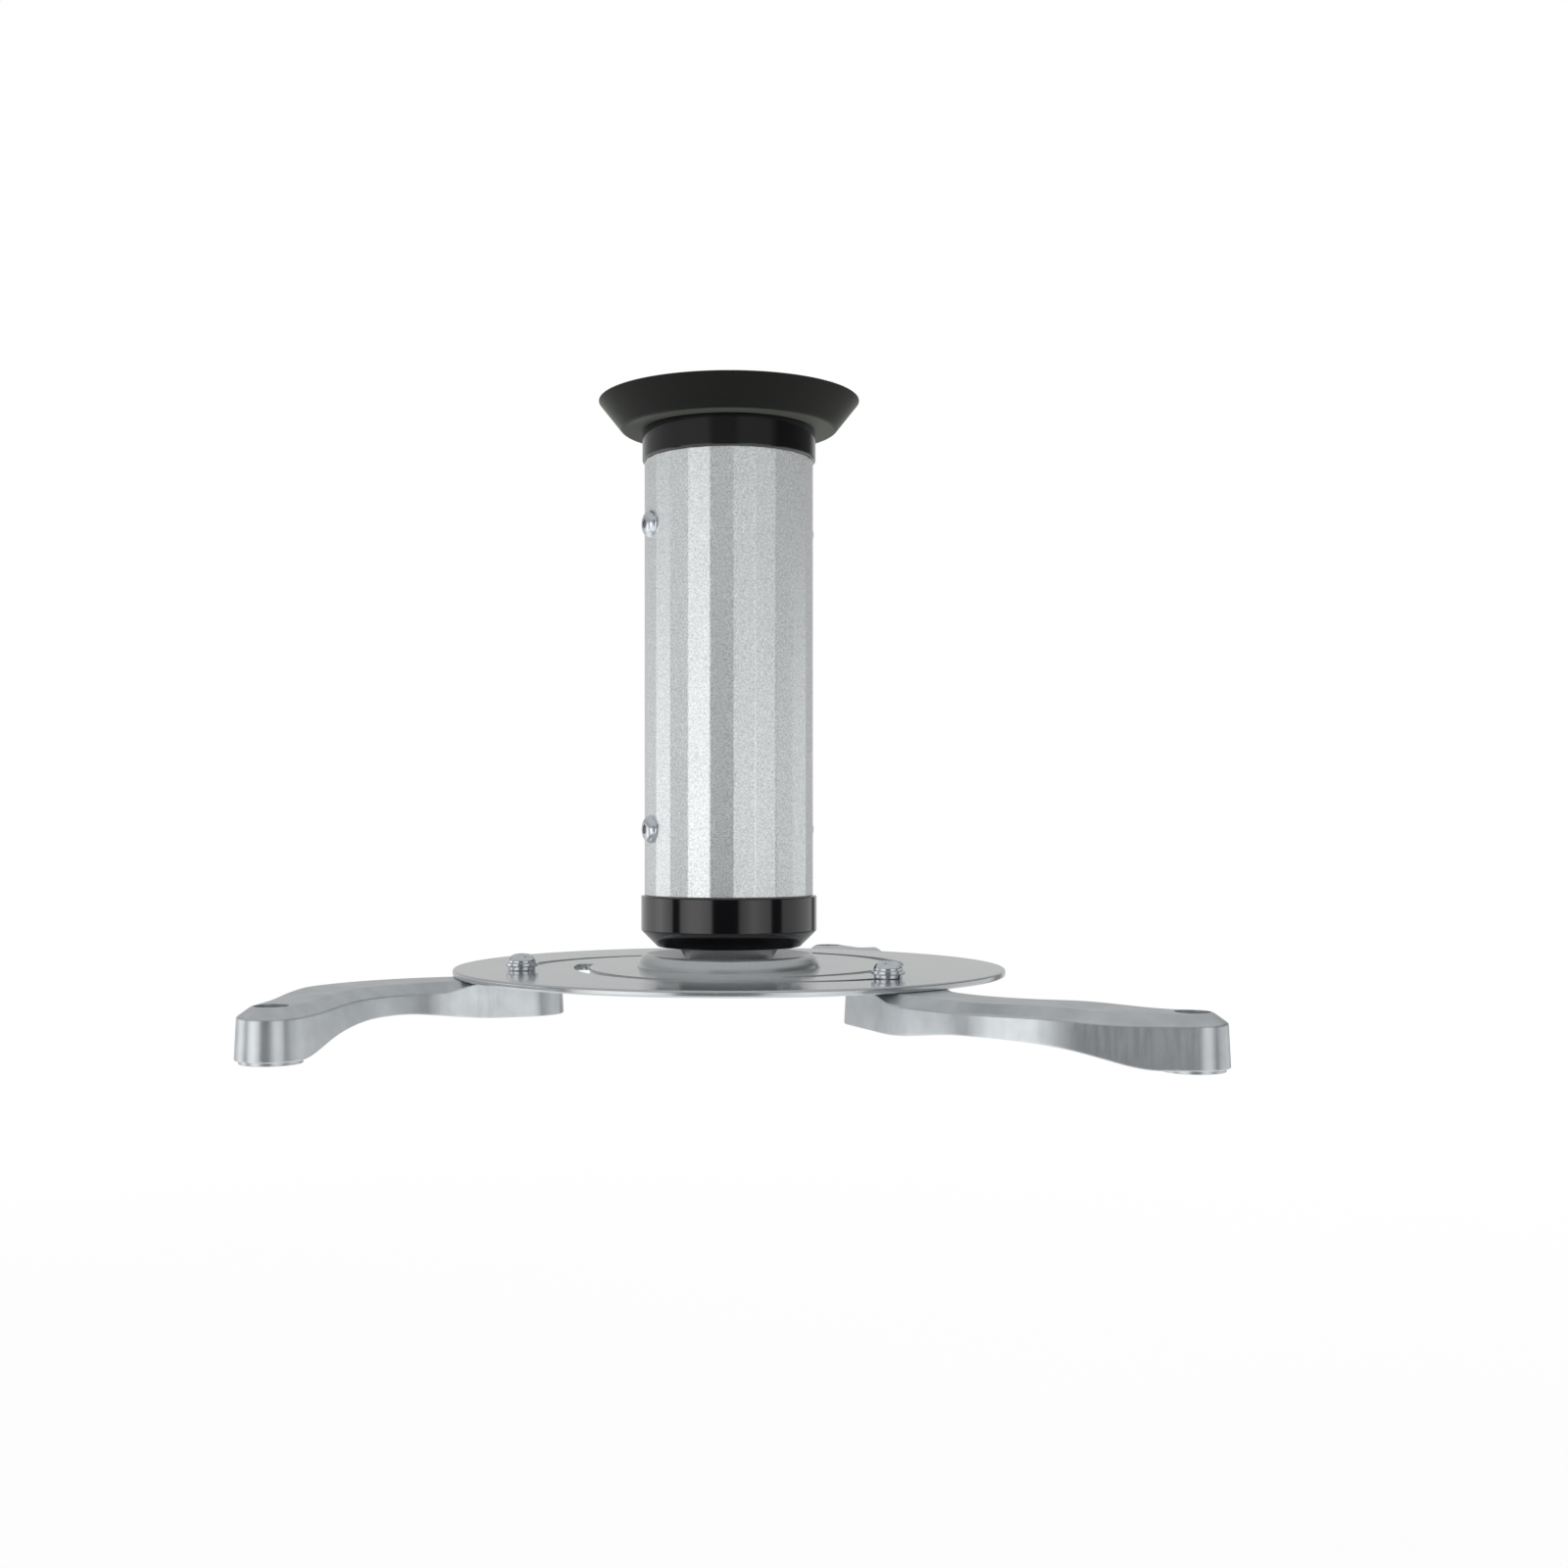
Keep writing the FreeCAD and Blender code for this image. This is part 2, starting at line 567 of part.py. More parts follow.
def make_flat_washer():
    """Plain washer on the spring washer."""
    low = plate_top + FACE_GAP + SPRING_WASHER_T
    washer = rod(FLAT_WASHER_D / 2, low, low + FLAT_WASHER_T)
    return washer.cut(rod(ARM_SCREW_D / 2 + WASHER_FIT, low - CUT, low + FLAT_WASHER_T + CUT))


def make_arm_screw():
    """Button head screw through both washers and the slot into the arm."""
    head_z = plate_top + FACE_GAP + SPRING_WASHER_T + FLAT_WASHER_T
    length = head_z - arm_top + ARM_SCREW_REACH
    screw = button_screw(ARM_SCREW_D, ARM_SCREW_HEAD_D, ARM_SCREW_HEAD_H, length, ARM_SCREW_SOCKET)
    screw.translate(UP * head_z)
    return screw


def arm_line():
    """Bend centre and far hole of the arm in plan, with its near leg along +X."""
    bend = FreeCAD.Vector(ARM_NEAR_LEG, ARM_BEND_R, 0)
    far = bend + polar(ARM_BEND_R, ARM_BEND - 90) + polar(ARM_FAR_LEG, ARM_BEND)
    return bend, far


def arm_reach():
    """Straight distance from the arm's screw to its far hole."""
    return arm_line()[1].Length


def arm_outline(grow, z):
    """Plan of the arm at a level: bent, with round ends, its far hole on +X."""
    near_r = ARM_NEAR_R + grow
    far_r = ARM_FAR_R + grow
    bend, far = arm_line()
    across = far - bend
    heading = math.degrees(math.atan2(across.y, across.x))
    outer_r = ARM_BEND_R + near_r
    inner_r = ARM_BEND_R - near_r
    outer = heading - math.degrees(math.acos((outer_r - far_r) / across.Length))
    inner = heading + math.degrees(math.acos(-(inner_r + far_r) / across.Length))
    right = [polar(near_r, -90), FreeCAD.Vector(ARM_NEAR_LEG, -near_r, 0), bend + polar(outer_r, outer),
             far + polar(far_r, outer)]
    left = [far + polar(far_r, inner), bend - polar(inner_r, inner),
            FreeCAD.Vector(ARM_NEAR_LEG, near_r, 0), polar(near_r, 90)]
    outer_middle = bend + polar(outer_r, (outer - 90) / 2)
    inner_middle = bend + polar(inner_r, (inner - 270) / 2)
    edges = [Part.Arc(left[3], polar(near_r, 180), right[0]).toShape(),
             Part.makeLine(right[0], right[1]),
             Part.Arc(right[1], outer_middle, right[2]).toShape(),
             Part.makeLine(right[2], right[3]),
             Part.Arc(right[3], far + polar(far_r, (outer + inner) / 2), left[0]).toShape(),
             Part.makeLine(left[0], left[1]),
             Part.Arc(left[1], inner_middle, left[2]).toShape(),
             Part.makeLine(left[2], left[3])]
    plan = Part.Wire(edges)
    plan.rotate(ORIGIN, UP, -math.degrees(math.atan2(far.y, far.x)))
    plan.translate(UP * z)
    return plan


def smooth_edge(points):
    """A curve through points that leaves and arrives level."""
    curve = Part.BSplineCurve()
    vectors = [FreeCAD.Vector(x, 0, z) for x, z in points]
    way = FreeCAD.Vector(1 if points[-1][0] > points[0][0] else -1, 0, 0)
    curve.interpolate(Points=vectors, InitialTangent=way, FinalTangent=way)
    return curve.toShape()


def line_edge(start, end):
    """A straight edge between two (along, z) points."""
    return Part.makeLine(FreeCAD.Vector(start[0], 0, start[1]), FreeCAD.Vector(end[0], 0, end[1]))


def arm_side_view():
    """The arm's side view as a solid across it."""
    far = arm_reach()
    start = -2 * ARM_NEAR_R
    end = far + 2 * ARM_FAR_R
    near = (ARM_NEAR_FLAT, -ARM_NEAR_DEPTH)
    waist = (far - ARM_WAIST_BACK, -ARM_WAIST_DEPTH)
    knee = (far - ARM_KNEE_BACK, -ARM_KNEE_DEPTH)
    foot = (far - ARM_FOOT_BACK, -ARM_FAR_DEPTH)
    crest = (far - ARM_TOP_FLAT_BACK, 0.0)
    brow = (far - ARM_TOP_DROP_BACK, -ARM_TOP_DROP)
    edges = [line_edge((start, 0.0), (start, -ARM_NEAR_DEPTH)),
             line_edge((start, -ARM_NEAR_DEPTH), near),
             smooth_edge([near, waist]),
             smooth_edge([waist, knee, foot]),
             line_edge(foot, (end, -ARM_FAR_DEPTH)),
             line_edge((end, -ARM_FAR_DEPTH), (end, brow[1])),
             line_edge((end, brow[1]), brow),
             smooth_edge([brow, crest]),
             line_edge(crest, (start, 0.0))]
    face = Part.Face(Part.Wire(edges))
    side = ARM_BEND_R + ARM_NEAR_R
    face.translate(FreeCAD.Vector(0, -side, 0))
    return face.extrude(FreeCAD.Vector(0, 2 * side, 0))


def arm_pad(walls):
    """The arm's round near end, which keeps its full height under the plate."""
    low = -ARM_BEVEL_H - CUT
    foot_r = ARM_PAD_R - low / math.tan(math.radians(ARM_PAD_ANGLE))
    cone = turned((0, low), (foot_r, low), (ARM_PAD_R, 0), (0, 0))
    return walls.common(cone)


def is_top_rim(edge):
    """True for an edge between the arm's upper surface and its walls."""
    middle = edge.valueAt((edge.FirstParameter + edge.LastParameter) / 2)
    if middle.z < -ARM_TOP_DROP - NEAR:
        return False
    wall = arm_outline(-ARM_SPREAD * middle.z, middle.z)
    return wall.distToShape(Part.Vertex(middle))[0] < NEAR


def make_arm():
    """Cast arm, its far hole on +X: bent, deeper at its far end, with bevelled upper edges."""
    deep = ARM_FAR_DEPTH + CUT
    plans = [arm_outline(ARM_SPREAD * deep, -deep), arm_outline(-ARM_SPREAD * CUT, CUT)]
    walls = Part.makeLoft(plans, True, True)
    body = walls.common(arm_side_view())
    rim = [edge for edge in body.Edges if is_top_rim(edge)]
    body = body.makeChamfer(ARM_BEVEL_W, ARM_BEVEL_H, rim)
    far = FreeCAD.Vector(arm_reach(), 0, 0)
    boss = rod(ARM_BOSS_D / 2, -ARM_FAR_DEPTH - ARM_BOSS_H, -ARM_FAR_DEPTH, far)
    body = body.fuse([arm_pad(walls), boss])
    tapped = rod(ARM_SCREW_D / 2 + RUNNING_FIT, -ARM_NEAR_DEPTH - CUT, CUT)
    through = rod(ARM_HOLE_D / 2, -ARM_FAR_DEPTH - ARM_BOSS_H - CUT, CUT, far)
    sink = rod(ARM_SINK_D / 2, -ARM_TOP_DROP - ARM_SINK_DEPTH, CUT, far)
    arm = body.cut([tapped, through, sink])
    arm.translate(UP * arm_top)
    return arm


def arm_pieces(index, name, turn):
    """An arm with its clamp, set at its slot and turned from the plate's radius."""
    place = screw_place(index)
    heading = math.degrees(math.atan2(place.y, place.x)) + turn
    pieces = {}
    for piece, make in (("arm", make_arm), ("arm_screw", make_arm_screw),
                        ("flat_washer", make_flat_washer),
                        ("spring_washer", make_spring_washer)):
        shape = make()
        shape.rotate(ORIGIN, UP, heading)
        shape.translate(place)
        pieces[piece + "_" + name] = shape
    return pieces


def make_pieces():
    """Every piece of the mount by its name."""
    pieces = {
        "ceiling_plate": make_ceiling_plate(),
        "ceiling_spigot": make_ceiling_spigot(),
        "spigot_screws": make_spigot_screws(),
        "ceiling_cover": make_ceiling_cover(),
        "upper_collar": make_upper_collar(),
        "tube": make_tube(),
        "upper_side_screws": make_side_screws(tube_top - UPPER_SCREW_INSET),
        "lower_side_screws": make_side_screws(tube_bottom + LOWER_SCREW_INSET),
        "lower_plug": make_lower_plug(),
        "lower_collar": make_lower_collar(),
        "upper_seat": make_upper_seat(),
        "ball": make_ball(),
        "centre_washer": make_centre_washer(),
        "centre_bolt": make_centre_bolt(),
        "mounting_plate": make_mounting_plate(),
        "stop_ring": make_stop_ring(),
        "ring_screws": make_ring_screws(),
    }
    for index, (name, turn) in enumerate(ARMS.items()):
        pieces.update(arm_pieces(index, name, turn))
    return pieces


def main():
    """Write one STEP file for each piece."""
    os.makedirs("parts", exist_ok=True)
    for name, shape in make_pieces().items():
        shape.exportStep("parts/" + name + ".step")
        print(name, len(shape.Solids), "solids", round(shape.Volume), "mm3", shape.isValid())


main()
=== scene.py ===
"""Projector ceiling mount: the finished looks of every piece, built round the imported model."""

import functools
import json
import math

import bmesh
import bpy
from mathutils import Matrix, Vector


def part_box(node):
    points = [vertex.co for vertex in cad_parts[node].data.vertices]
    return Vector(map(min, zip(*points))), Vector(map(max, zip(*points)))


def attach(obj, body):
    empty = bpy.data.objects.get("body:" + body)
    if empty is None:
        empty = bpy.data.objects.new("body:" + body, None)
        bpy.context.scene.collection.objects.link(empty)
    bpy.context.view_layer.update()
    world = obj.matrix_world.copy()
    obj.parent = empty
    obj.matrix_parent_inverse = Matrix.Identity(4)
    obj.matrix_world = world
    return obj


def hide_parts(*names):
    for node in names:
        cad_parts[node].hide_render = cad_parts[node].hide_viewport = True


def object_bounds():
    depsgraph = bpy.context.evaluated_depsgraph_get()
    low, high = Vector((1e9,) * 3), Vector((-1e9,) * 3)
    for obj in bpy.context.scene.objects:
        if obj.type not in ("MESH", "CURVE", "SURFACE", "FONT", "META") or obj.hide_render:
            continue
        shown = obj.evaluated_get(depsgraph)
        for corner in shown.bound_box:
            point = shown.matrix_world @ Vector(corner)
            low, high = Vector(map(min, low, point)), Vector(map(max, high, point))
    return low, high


bl_info = {
    "name": "Projector ceiling mount",
    "version": (1, 0, 0),
    "blender": (4, 5, 0),
    "location": "3D View > Sidebar > Mount",
    "description": "Builds a projector ceiling mount piece by piece, with finishes and a studio",
    "category": "Object",
}

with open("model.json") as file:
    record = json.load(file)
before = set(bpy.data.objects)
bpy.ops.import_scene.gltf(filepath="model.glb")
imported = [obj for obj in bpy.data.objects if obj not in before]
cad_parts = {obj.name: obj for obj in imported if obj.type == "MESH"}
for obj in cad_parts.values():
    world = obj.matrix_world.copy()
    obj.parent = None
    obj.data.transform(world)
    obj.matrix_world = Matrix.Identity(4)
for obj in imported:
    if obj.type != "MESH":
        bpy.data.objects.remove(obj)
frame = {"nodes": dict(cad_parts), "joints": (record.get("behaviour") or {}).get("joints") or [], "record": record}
CAD_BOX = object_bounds()
JOINTS = frame["joints"]
MOUNTS = frame["record"]["mounts"]

# Measures are metres. MM turns a measure in millimetres into metres.
MM = 0.001
ARM_NAMES = ("right", "back", "left")
# Faces round a large turned piece
ROUND = 192
# Play between the plate and what is clamped on it
PLAY = 0.05 * MM
# Steeper edges of a cut piece stay sharp, so that its flats look flat
FLAT_EDGE = math.radians(20)
# Steeper edges of a turned piece stay sharp
TURNED_EDGE = math.radians(40)
# The tube's rounded long corners look smooth up to this
TUBE_EDGE = math.radians(30)
# Steeper edges are softened where something is cut out
CUT_EDGE = math.radians(62)


def extent(node):
    """Radius, lower level and upper level of a round CAD node."""
    low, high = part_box(node)
    return (high.x - low.x) / 2, low.z, high.z


def place_of(rows, name):
    """Place at rest of a named joint or mount."""
    for row in rows:
        if row["name"] == name:
            return Vector(row["pos_m"])
    raise RuntimeError("nothing there is named " + name)


def number(name, default, description, **rest):
    """A number that a user may change."""
    return bpy.props.FloatProperty(name=name, default=default, description=description, **rest)


def length(name, millimetres, description):
    """A size that a user may change."""
    return number(name, millimetres * MM, description, unit="LENGTH", min=0.0)


def angle(name, degrees, description):
    """An angle that a user may change."""
    return number(name, math.radians(degrees), description, subtype="ANGLE")


def colour(name, default, description):
    """A colour as sRGB hex digits."""
    return bpy.props.StringProperty(name=name, default=default, description=description)


class MountTubeSettings(bpy.types.PropertyGroup):
    """Sizes of the tube, its cover and its two collars."""
    facets: bpy.props.IntProperty(
        name="Facets", default=24, min=6, description="Flat faces round the tube")
    facet_turn: angle("Facet turn", 2.5, "Angle of the tube's first corner")
    radius: length("Tube radius", 29.0, "To the corners of the tube")
    wall: length("Tube wall", 3.0, "Wall at the corners")
    corner: length("Corner rounding", 0.35, "Of the tube's long corners")
    cover_wall: length("Cover wall", 1.2, "Thickness of the cover")
    cover_floor: length("Cover floor", 36.75, "Radius where the cover's floor ends")
    edge: length("Edge rounding", 0.5, "Of the collars' edges")
    chamfer: length("Lower chamfer", 5.55, "Wide chamfer of the lower collar")
    screw_turn: angle("Screw turn", 25.0, "Angle of the first side screw")


class MountPlateSettings(bpy.types.PropertyGroup):
    """Sizes of the round plate."""
    edge: length("Edge rounding", 0.8, "Of the plate's outer edge")
    slot_edge: length("Slot rounding", 0.25, "Of the slots' edges")
    slot_radius: length("Slot radius", 62.0, "To each slot's middle line")
    slot_width: length("Slot width", 5.4, "Width of each slot")
    slot_from: angle("Slot start", 172.0, "Inner end of the first slot")
    slot_to: angle("Slot end", 309.4, "Outer end of the first slot")


class MountArmSettings(bpy.types.PropertyGroup):
    """Sizes of the cast arms. Depths count down from the top, and "back" from the far hole."""
    near_leg: length("Near leg", 24.0, "From the clamping screw to the bend")
    bend_radius: length("Bend radius", 55.0, "To its middle line")
    bend: angle("Bend", 58.0, "How far the arm turns")
    far_leg: length("Far leg", 31.5, "From the bend to the far hole")
    near_radius: length("Near radius", 13.2, "Round end under the plate")
    far_radius: length("Far radius", 9.5, "Round end at the far hole")
    draft: angle("Draft", 3.0, "Slope of the side walls")
    near_depth: length("Near depth", 12.0, "Depth under the plate")
    near_flat: length("Near flat", 16.0, "Where that depth ends, from the screw")
    waist_depth: length("Waist depth", 9.4, "Depth at the thinnest place")
    waist_back: length("Waist place", 54.5, "Where the waist lies")
    knee_depth: length("Knee depth", 13.2, "Depth where the underside drops")
    knee_back: length("Knee place", 19.0, "Where that is")
    far_depth: length("Far depth", 17.2, "Depth at the far hole")
    foot_back: length("Foot place", 3.0, "Where the far depth is reached")
    flat_back: length("Flat top", 36.0, "Where the flat top ends")
    top_drop: length("Top drop", 1.7, "Of the top at the far end")
    drop_back: length("Drop place", 7.0, "Where the top is down")
    bevel_width: length("Bevel width", 4.0, "Along the upper edges")
    bevel_height: length("Bevel height", 3.0, "Height of that bevel")
    pad_radius: length("Pad radius", 19.0, "Unbevelled round pad under the plate")
    pad_slope: angle("Pad slope", 14.0, "Where the bevel fades into it")
    hole: length("Hole", 6.5, "Diameter of the far hole")
    sink: length("Recess", 10.3, "Diameter, over the far hole")
    sink_depth: length("Recess depth", 5.0, "Depth of that recess")
    boss: length("Boss", 18.4, "Diameter, under the far end")
    boss_height: length("Boss height", 1.1, "Height of that boss")


class MountFastenerSettings(bpy.types.PropertyGroup):
    """Sizes of the screws and washers."""
    side_head: length("Side head", 9.5, "Side screws' head diameter")
    side_head_height: length("Side head height", 2.75, "Height of that head")
    arm_head: length("Arm head", 9.4, "Arm screws' head diameter")
    arm_head_height: length("Arm head height", 2.9, "Height of that head")
    shank: length("Shank", 5.0, "Shank diameter of both")
    socket: length("Socket", 3.0, "Socket across its flats")
    flat_washer: length("Flat washer", 10.8, "Their diameter")
    flat_washer_height: length("Flat washer height", 1.2, "Their thickness")
    spring_washer: length("Spring washer", 9.0, "Their diameter")
    spring_washer_height: length("Spring washer height", 1.3, "Their thickness")
    washer_hole: length("Washer hole", 5.3, "Hole of the washers")


class MountFinishSettings(bpy.types.PropertyGroup):
    """Colours of the finishes."""
    tube: colour("Tube", "#F0F5F7", "Anodised aluminium")
    arm: colour("Arm", "#D8DCDF", "Tumbled cast aluminium")
    plate: colour("Plate", "#C3C7C9", "Silver lacquered sheet steel")
    zinc: colour("Zinc", "#E2E7EC", "Zinc plated screws and washers")
    collar: colour("Collar", "#08080A", "Gloss black lacquer on metal")
    cover: colour("Cover", "#0B0E0A", "Matte dark plastic")
    ball: colour("Ball", "#DCDEE0", "Rubbed steel")
    seat: colour("Seat", "#D8D3C4", "Nylon of the friction ring")
    turned: colour("Turned", "#BDBFC1", "Turned aluminium inside the tube")


class MountStageSettings(bpy.types.PropertyGroup):
    """The studio round the mount."""
    distance: length("Distance", 618.0, "Camera to the tube's axis")
    height: number("Camera level", -0.1455, "Against the ceiling", unit="LENGTH")
    lens: number("Lens", 41.24, "Focal length", unit="CAMERA")
    shift_x: number("Shift across", 0.0351, "Moves the picture sideways")
    shift_y: number("Shift up", 0.0266, "Moves the picture up or down")
    floor_drop: length("Floor", 420.0, "Under the mount's lowest point")
    paper: colour("Paper", "#FFFFFF", "Backdrop and floor")


def hex_values(hex_digits):
    """Red, green and blue of a hex colour, 0 to 255."""
    digits = hex_digits.lstrip("#")
    return [int(digits[k:k + 2], 16) for k in (0, 2, 4)]


def to_linear(hex_digits):
    """An sRGB hex colour as linear RGBA."""
    shares = [value / 255 for value in hex_values(hex_digits)]
    return (*(s / 12.92 if s <= 0.04045 else ((s + 0.055) / 1.055) ** 2.4 for s in shares), 1.0)


def shade(hex_digits, factor):
    """A hex colour made lighter or darker."""
    values = [min(255, int(value * factor)) for value in hex_values(hex_digits)]
    return "#%02X%02X%02X" % tuple(values)


def grey(value):
    """A linear grey."""
    return (value, value, value, 1.0)


def per_mm(size):
    """Scale of a pattern whose features are about this many millimetres across."""
    return 1000.0 / size


def put(thing, **settings):
    """Set a thing's attributes and give it back."""
    for name, value in settings.items():
        setattr(thing, name, value)
    return thing


def add(tree, kind, inputs=None, **settings):
    """Add a node with its settings. An input is a value, or a node or socket to link from."""
    node = put(tree.nodes.new(kind), **settings)
    for name, value in (inputs or {}).items():
        if isinstance(value, bpy.types.Node):
            value = value.outputs[0]
        if isinstance(value, bpy.types.NodeSocket):
            tree.links.new(value, node.inputs[name])
        else:
            node.inputs[name].default_value = value
    return node


def new_material(name, values, *lumps):
    """A Principled material, its values on the shader's own sockets, and its noise nodes.

    Each of the lumps is (size in millimetres, detail, roughness).
    """
    material = bpy.data.materials.new(name)
    material.use_nodes = True
    tree = material.node_tree
    for socket, value in values.items():
        tree.nodes["Principled BSDF"].inputs[socket].default_value = value
    noises = []
    for size, detail, roughness in lumps:
        place = add(tree, "ShaderNodeTexCoord").outputs["Object"]
        noises.append(add(tree, "ShaderNodeTexNoise", {
            "Vector": place, "Scale": per_mm(size), "Detail": detail, "Roughness": roughness}))
    return material, *noises


def vary(material, base, tones, roughness, relief=None):
    """Let patterns set a material's tint, roughness and relief.

    Tones, as shares of the base, and roughness are (pattern, lowest, highest). Relief is
    (pattern, depth in millimetres, strength).
    """
    tree = material.node_tree
    shader = tree.nodes["Principled BSDF"]
    pattern, low, high = tones
    tint = add(tree, "ShaderNodeMix", {
        "Factor": pattern, "A": to_linear(shade(base, low)), "B": to_linear(shade(base, high))},
        data_type="RGBA")
    tree.links.new(tint.outputs["Result"], shader.inputs["Base Color"])
    pattern, low, high = roughness
    spread = add(tree, "ShaderNodeMapRange", {"Value": pattern, "To Min": low, "To Max": high})
    tree.links.new(spread.outputs["Result"], shader.inputs["Roughness"])
    if relief:
        pattern, depth, strength = relief
        bump = add(tree, "ShaderNodeBump", {
            "Height": pattern, "Distance": depth * MM, "Strength": strength})
        tree.links.new(bump.outputs["Normal"], shader.inputs["Normal"])
    return material


def anodised_aluminium(base):
    """Bead blasted and anodised: a fine sparkling grain that keeps the facets' tones apart.

    The blast marks are drawn about twice as coarse as they are, so that they show.
    """
    material, grain, haze = new_material(
        "Blasted anodised aluminium", {"Metallic": 0.72}, (0.55, 2.0, 0.7), (14.0, 2.0, 0.5))
    pits = add(material.node_tree, "ShaderNodeMapRange", {
        "Value": grain, "From Min": 0.34, "From Max": 0.66})
    return vary(material, base, (pits, 0.84, 1.05), (haze, 0.26, 0.34), (grain, 0.05, 0.7))


def cast_aluminium(base):
    """Die cast and tumbled: satin and clouded, with faint upright marks from leaving the mould."""
    material, cloud, marks = new_material(
        "Tumbled cast aluminium", {"Metallic": 0.9}, (9.0, 2.0, 0.55), (1.6, 3.0, 0.6))
    tree = material.node_tree
    place = add(tree, "ShaderNodeTexCoord").outputs["Object"]
    upright = add(tree, "ShaderNodeMapping", {"Vector": place, "Scale": (1.0, 1.0, 0.1)})
    tree.links.new(upright.outputs["Vector"], marks.inputs["Vector"])
    return vary(material, base, (cloud, 0.87, 1.06), (marks, 0.22, 0.42), (marks, 0.012, 0.25))


def silver_plate(base):
    """Silver lacquered sheet steel: smooth enough to mirror what stands on it."""
    material, cloud, peel, flake = new_material(
        "Silver lacquered steel", {"Metallic": 0.8, "Coat Weight": 0.3, "Coat Roughness": 0.06},
        (22.0, 2.0, 0.5), (2.2, 1.0, 0.5), (0.25, 2.0, 0.5))
    return vary(material, base, (flake, 0.94, 1.05), (cloud, 0.13, 0.19), (peel, 0.006, 0.15))


def zinc_plate(base):
    """Bright zinc plating with its faint blue cast and rubbed, slightly uneven gloss."""
    material, rub = new_material("Bright zinc plated steel", {"Metallic": 0.92}, (1.1, 3.0, 0.6))
    return vary(material, base, (rub, 0.9, 1.06), (rub, 0.12, 0.24), (rub, 0.01, 0.2))


def black_lacquer(base):
    """Gloss black lacquer over turned metal: crisp softbox strips with faint hairlines."""
    material, drift, hair = new_material("Gloss black lacquer", {
        "Coat Weight": 0.8, "Coat Roughness": 0.04, "IOR": 1.5, "Specular IOR Level": 0.35},
        (30.0, 2.0, 0.5), (0.6, 2.0, 0.5))
    return vary(material, base, (drift, 1.0, 1.3), (hair, 0.1, 0.16), (hair, 0.004, 0.2))


def matte_plastic(base):
    """Moulded ABS with a fine spark-eroded grain."""
    material, grain, cloud = new_material("Matte moulded ABS", {
        "IOR": 1.5, "Specular IOR Level": 0.2, "Sheen Weight": 0.34, "Sheen Roughness": 0.3,
        "Sheen Tint": to_linear("#EAF2E2")}, (0.45, 3.0, 0.65), (12.0, 2.0, 0.5))
    return vary(material, base, (cloud, 0.92, 1.1), (grain, 0.5, 0.62), (grain, 0.02, 0.4))


def rubbed_steel(base):
    """Polished steel that its seats have rubbed satin: soft, and light in the dark gap."""
    material, haze = new_material("Polished steel rubbed satin", {"Metallic": 0.7}, (4.0, 2.0, 0.5))
    return vary(material, base, (haze, 0.96, 1.0), (haze, 0.3, 0.36))


def turned_aluminium(base):
    """Bare turned aluminium with fine level tool rings."""
    (material,) = new_material("Turned aluminium", {"Metallic": 1.0})
    tree = material.node_tree
    place = add(tree, "ShaderNodeTexCoord").outputs["Object"]
    rings = add(tree, "ShaderNodeTexWave", {
        "Vector": place, "Scale": per_mm(4.0), "Distortion": 0.4}, bands_direction="Z")
    marks = rings.outputs["Fac"]
    return vary(material, base, (marks, 0.92, 1.0), (marks, 0.3, 0.4))


def natural_nylon(base):
    """Natural nylon: waxy, slightly translucent and off-white."""
    material, cloud = new_material(
        "Natural nylon", {"Subsurface Weight": 0.15, "Subsurface Scale": 0.002, "IOR": 1.53},
        (3.0, 2.0, 0.5))
    return vary(material, base, (cloud, 0.94, 1.0), (cloud, 0.38, 0.5))


MATERIALS = {
    "tube_silver": (anodised_aluminium, "tube"),
    "cast_aluminium": (cast_aluminium, "arm"),
    "plate_silver": (silver_plate, "plate"),
    "zinc_steel": (zinc_plate, "zinc"),
    "collar_black": (black_lacquer, "collar"),
    "cover_black": (matte_plastic, "cover"),
    "ball_steel": (rubbed_steel, "ball"),
    "turned_aluminium": (turned_aluminium, "turned"),
    "seat_nylon": (natural_nylon, "seat"),
}


@functools.cache
def finish_for(slot_name):
    """The material of a slot in the record, made once."""
    make, setting = MATERIALS[slot_name]
    return make(getattr(bpy.context.scene.mount_finish, setting))


def new_object(name, data):
    """An object of a mesh, lamp or camera in the scene."""
    made = bpy.data.objects.new(name, data)
    bpy.context.scene.collection.objects.link(made)
    return made


def make_piece(name, mesh, slot_name, body, node, sharp=TURNED_EDGE):
    """A smooth-shaded piece in its finish, which rides on its body and stands for a CAD node."""
    for face in mesh.polygons:
        face.use_smooth = True
    mesh.set_sharp_from_angle(angle=sharp)
    mesh.materials.clear()
    mesh.materials.append(finish_for(slot_name))
    piece = new_object(name, mesh)
    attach(piece, body)
    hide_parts(node)


def dress_node(node, slot_name):
    """A CAD node keeps its shape and gets a finish."""
    piece = frame["nodes"][node]
    piece.data.materials.clear()
    piece.data.materials.append(finish_for(slot_name))


def mesh_from(shape):
    """A mesh from a bmesh whose doubles are merged and whose faces point outwards."""
    bmesh.ops.remove_doubles(shape, verts=shape.verts, dist=1e-7)
    bmesh.ops.recalc_face_normals(shape, faces=shape.faces)
    mesh = bpy.data.meshes.new("shape")
    shape.to_mesh(mesh)
    shape.free()
    return mesh


def circle(radius, steps, first_turn=0.0):
    """Points on a circle round the origin."""
    turns = [first_turn + 2 * math.pi * k / steps for k in range(steps)]
    return [(radius * math.cos(turn), radius * math.sin(turn)) for turn in turns]


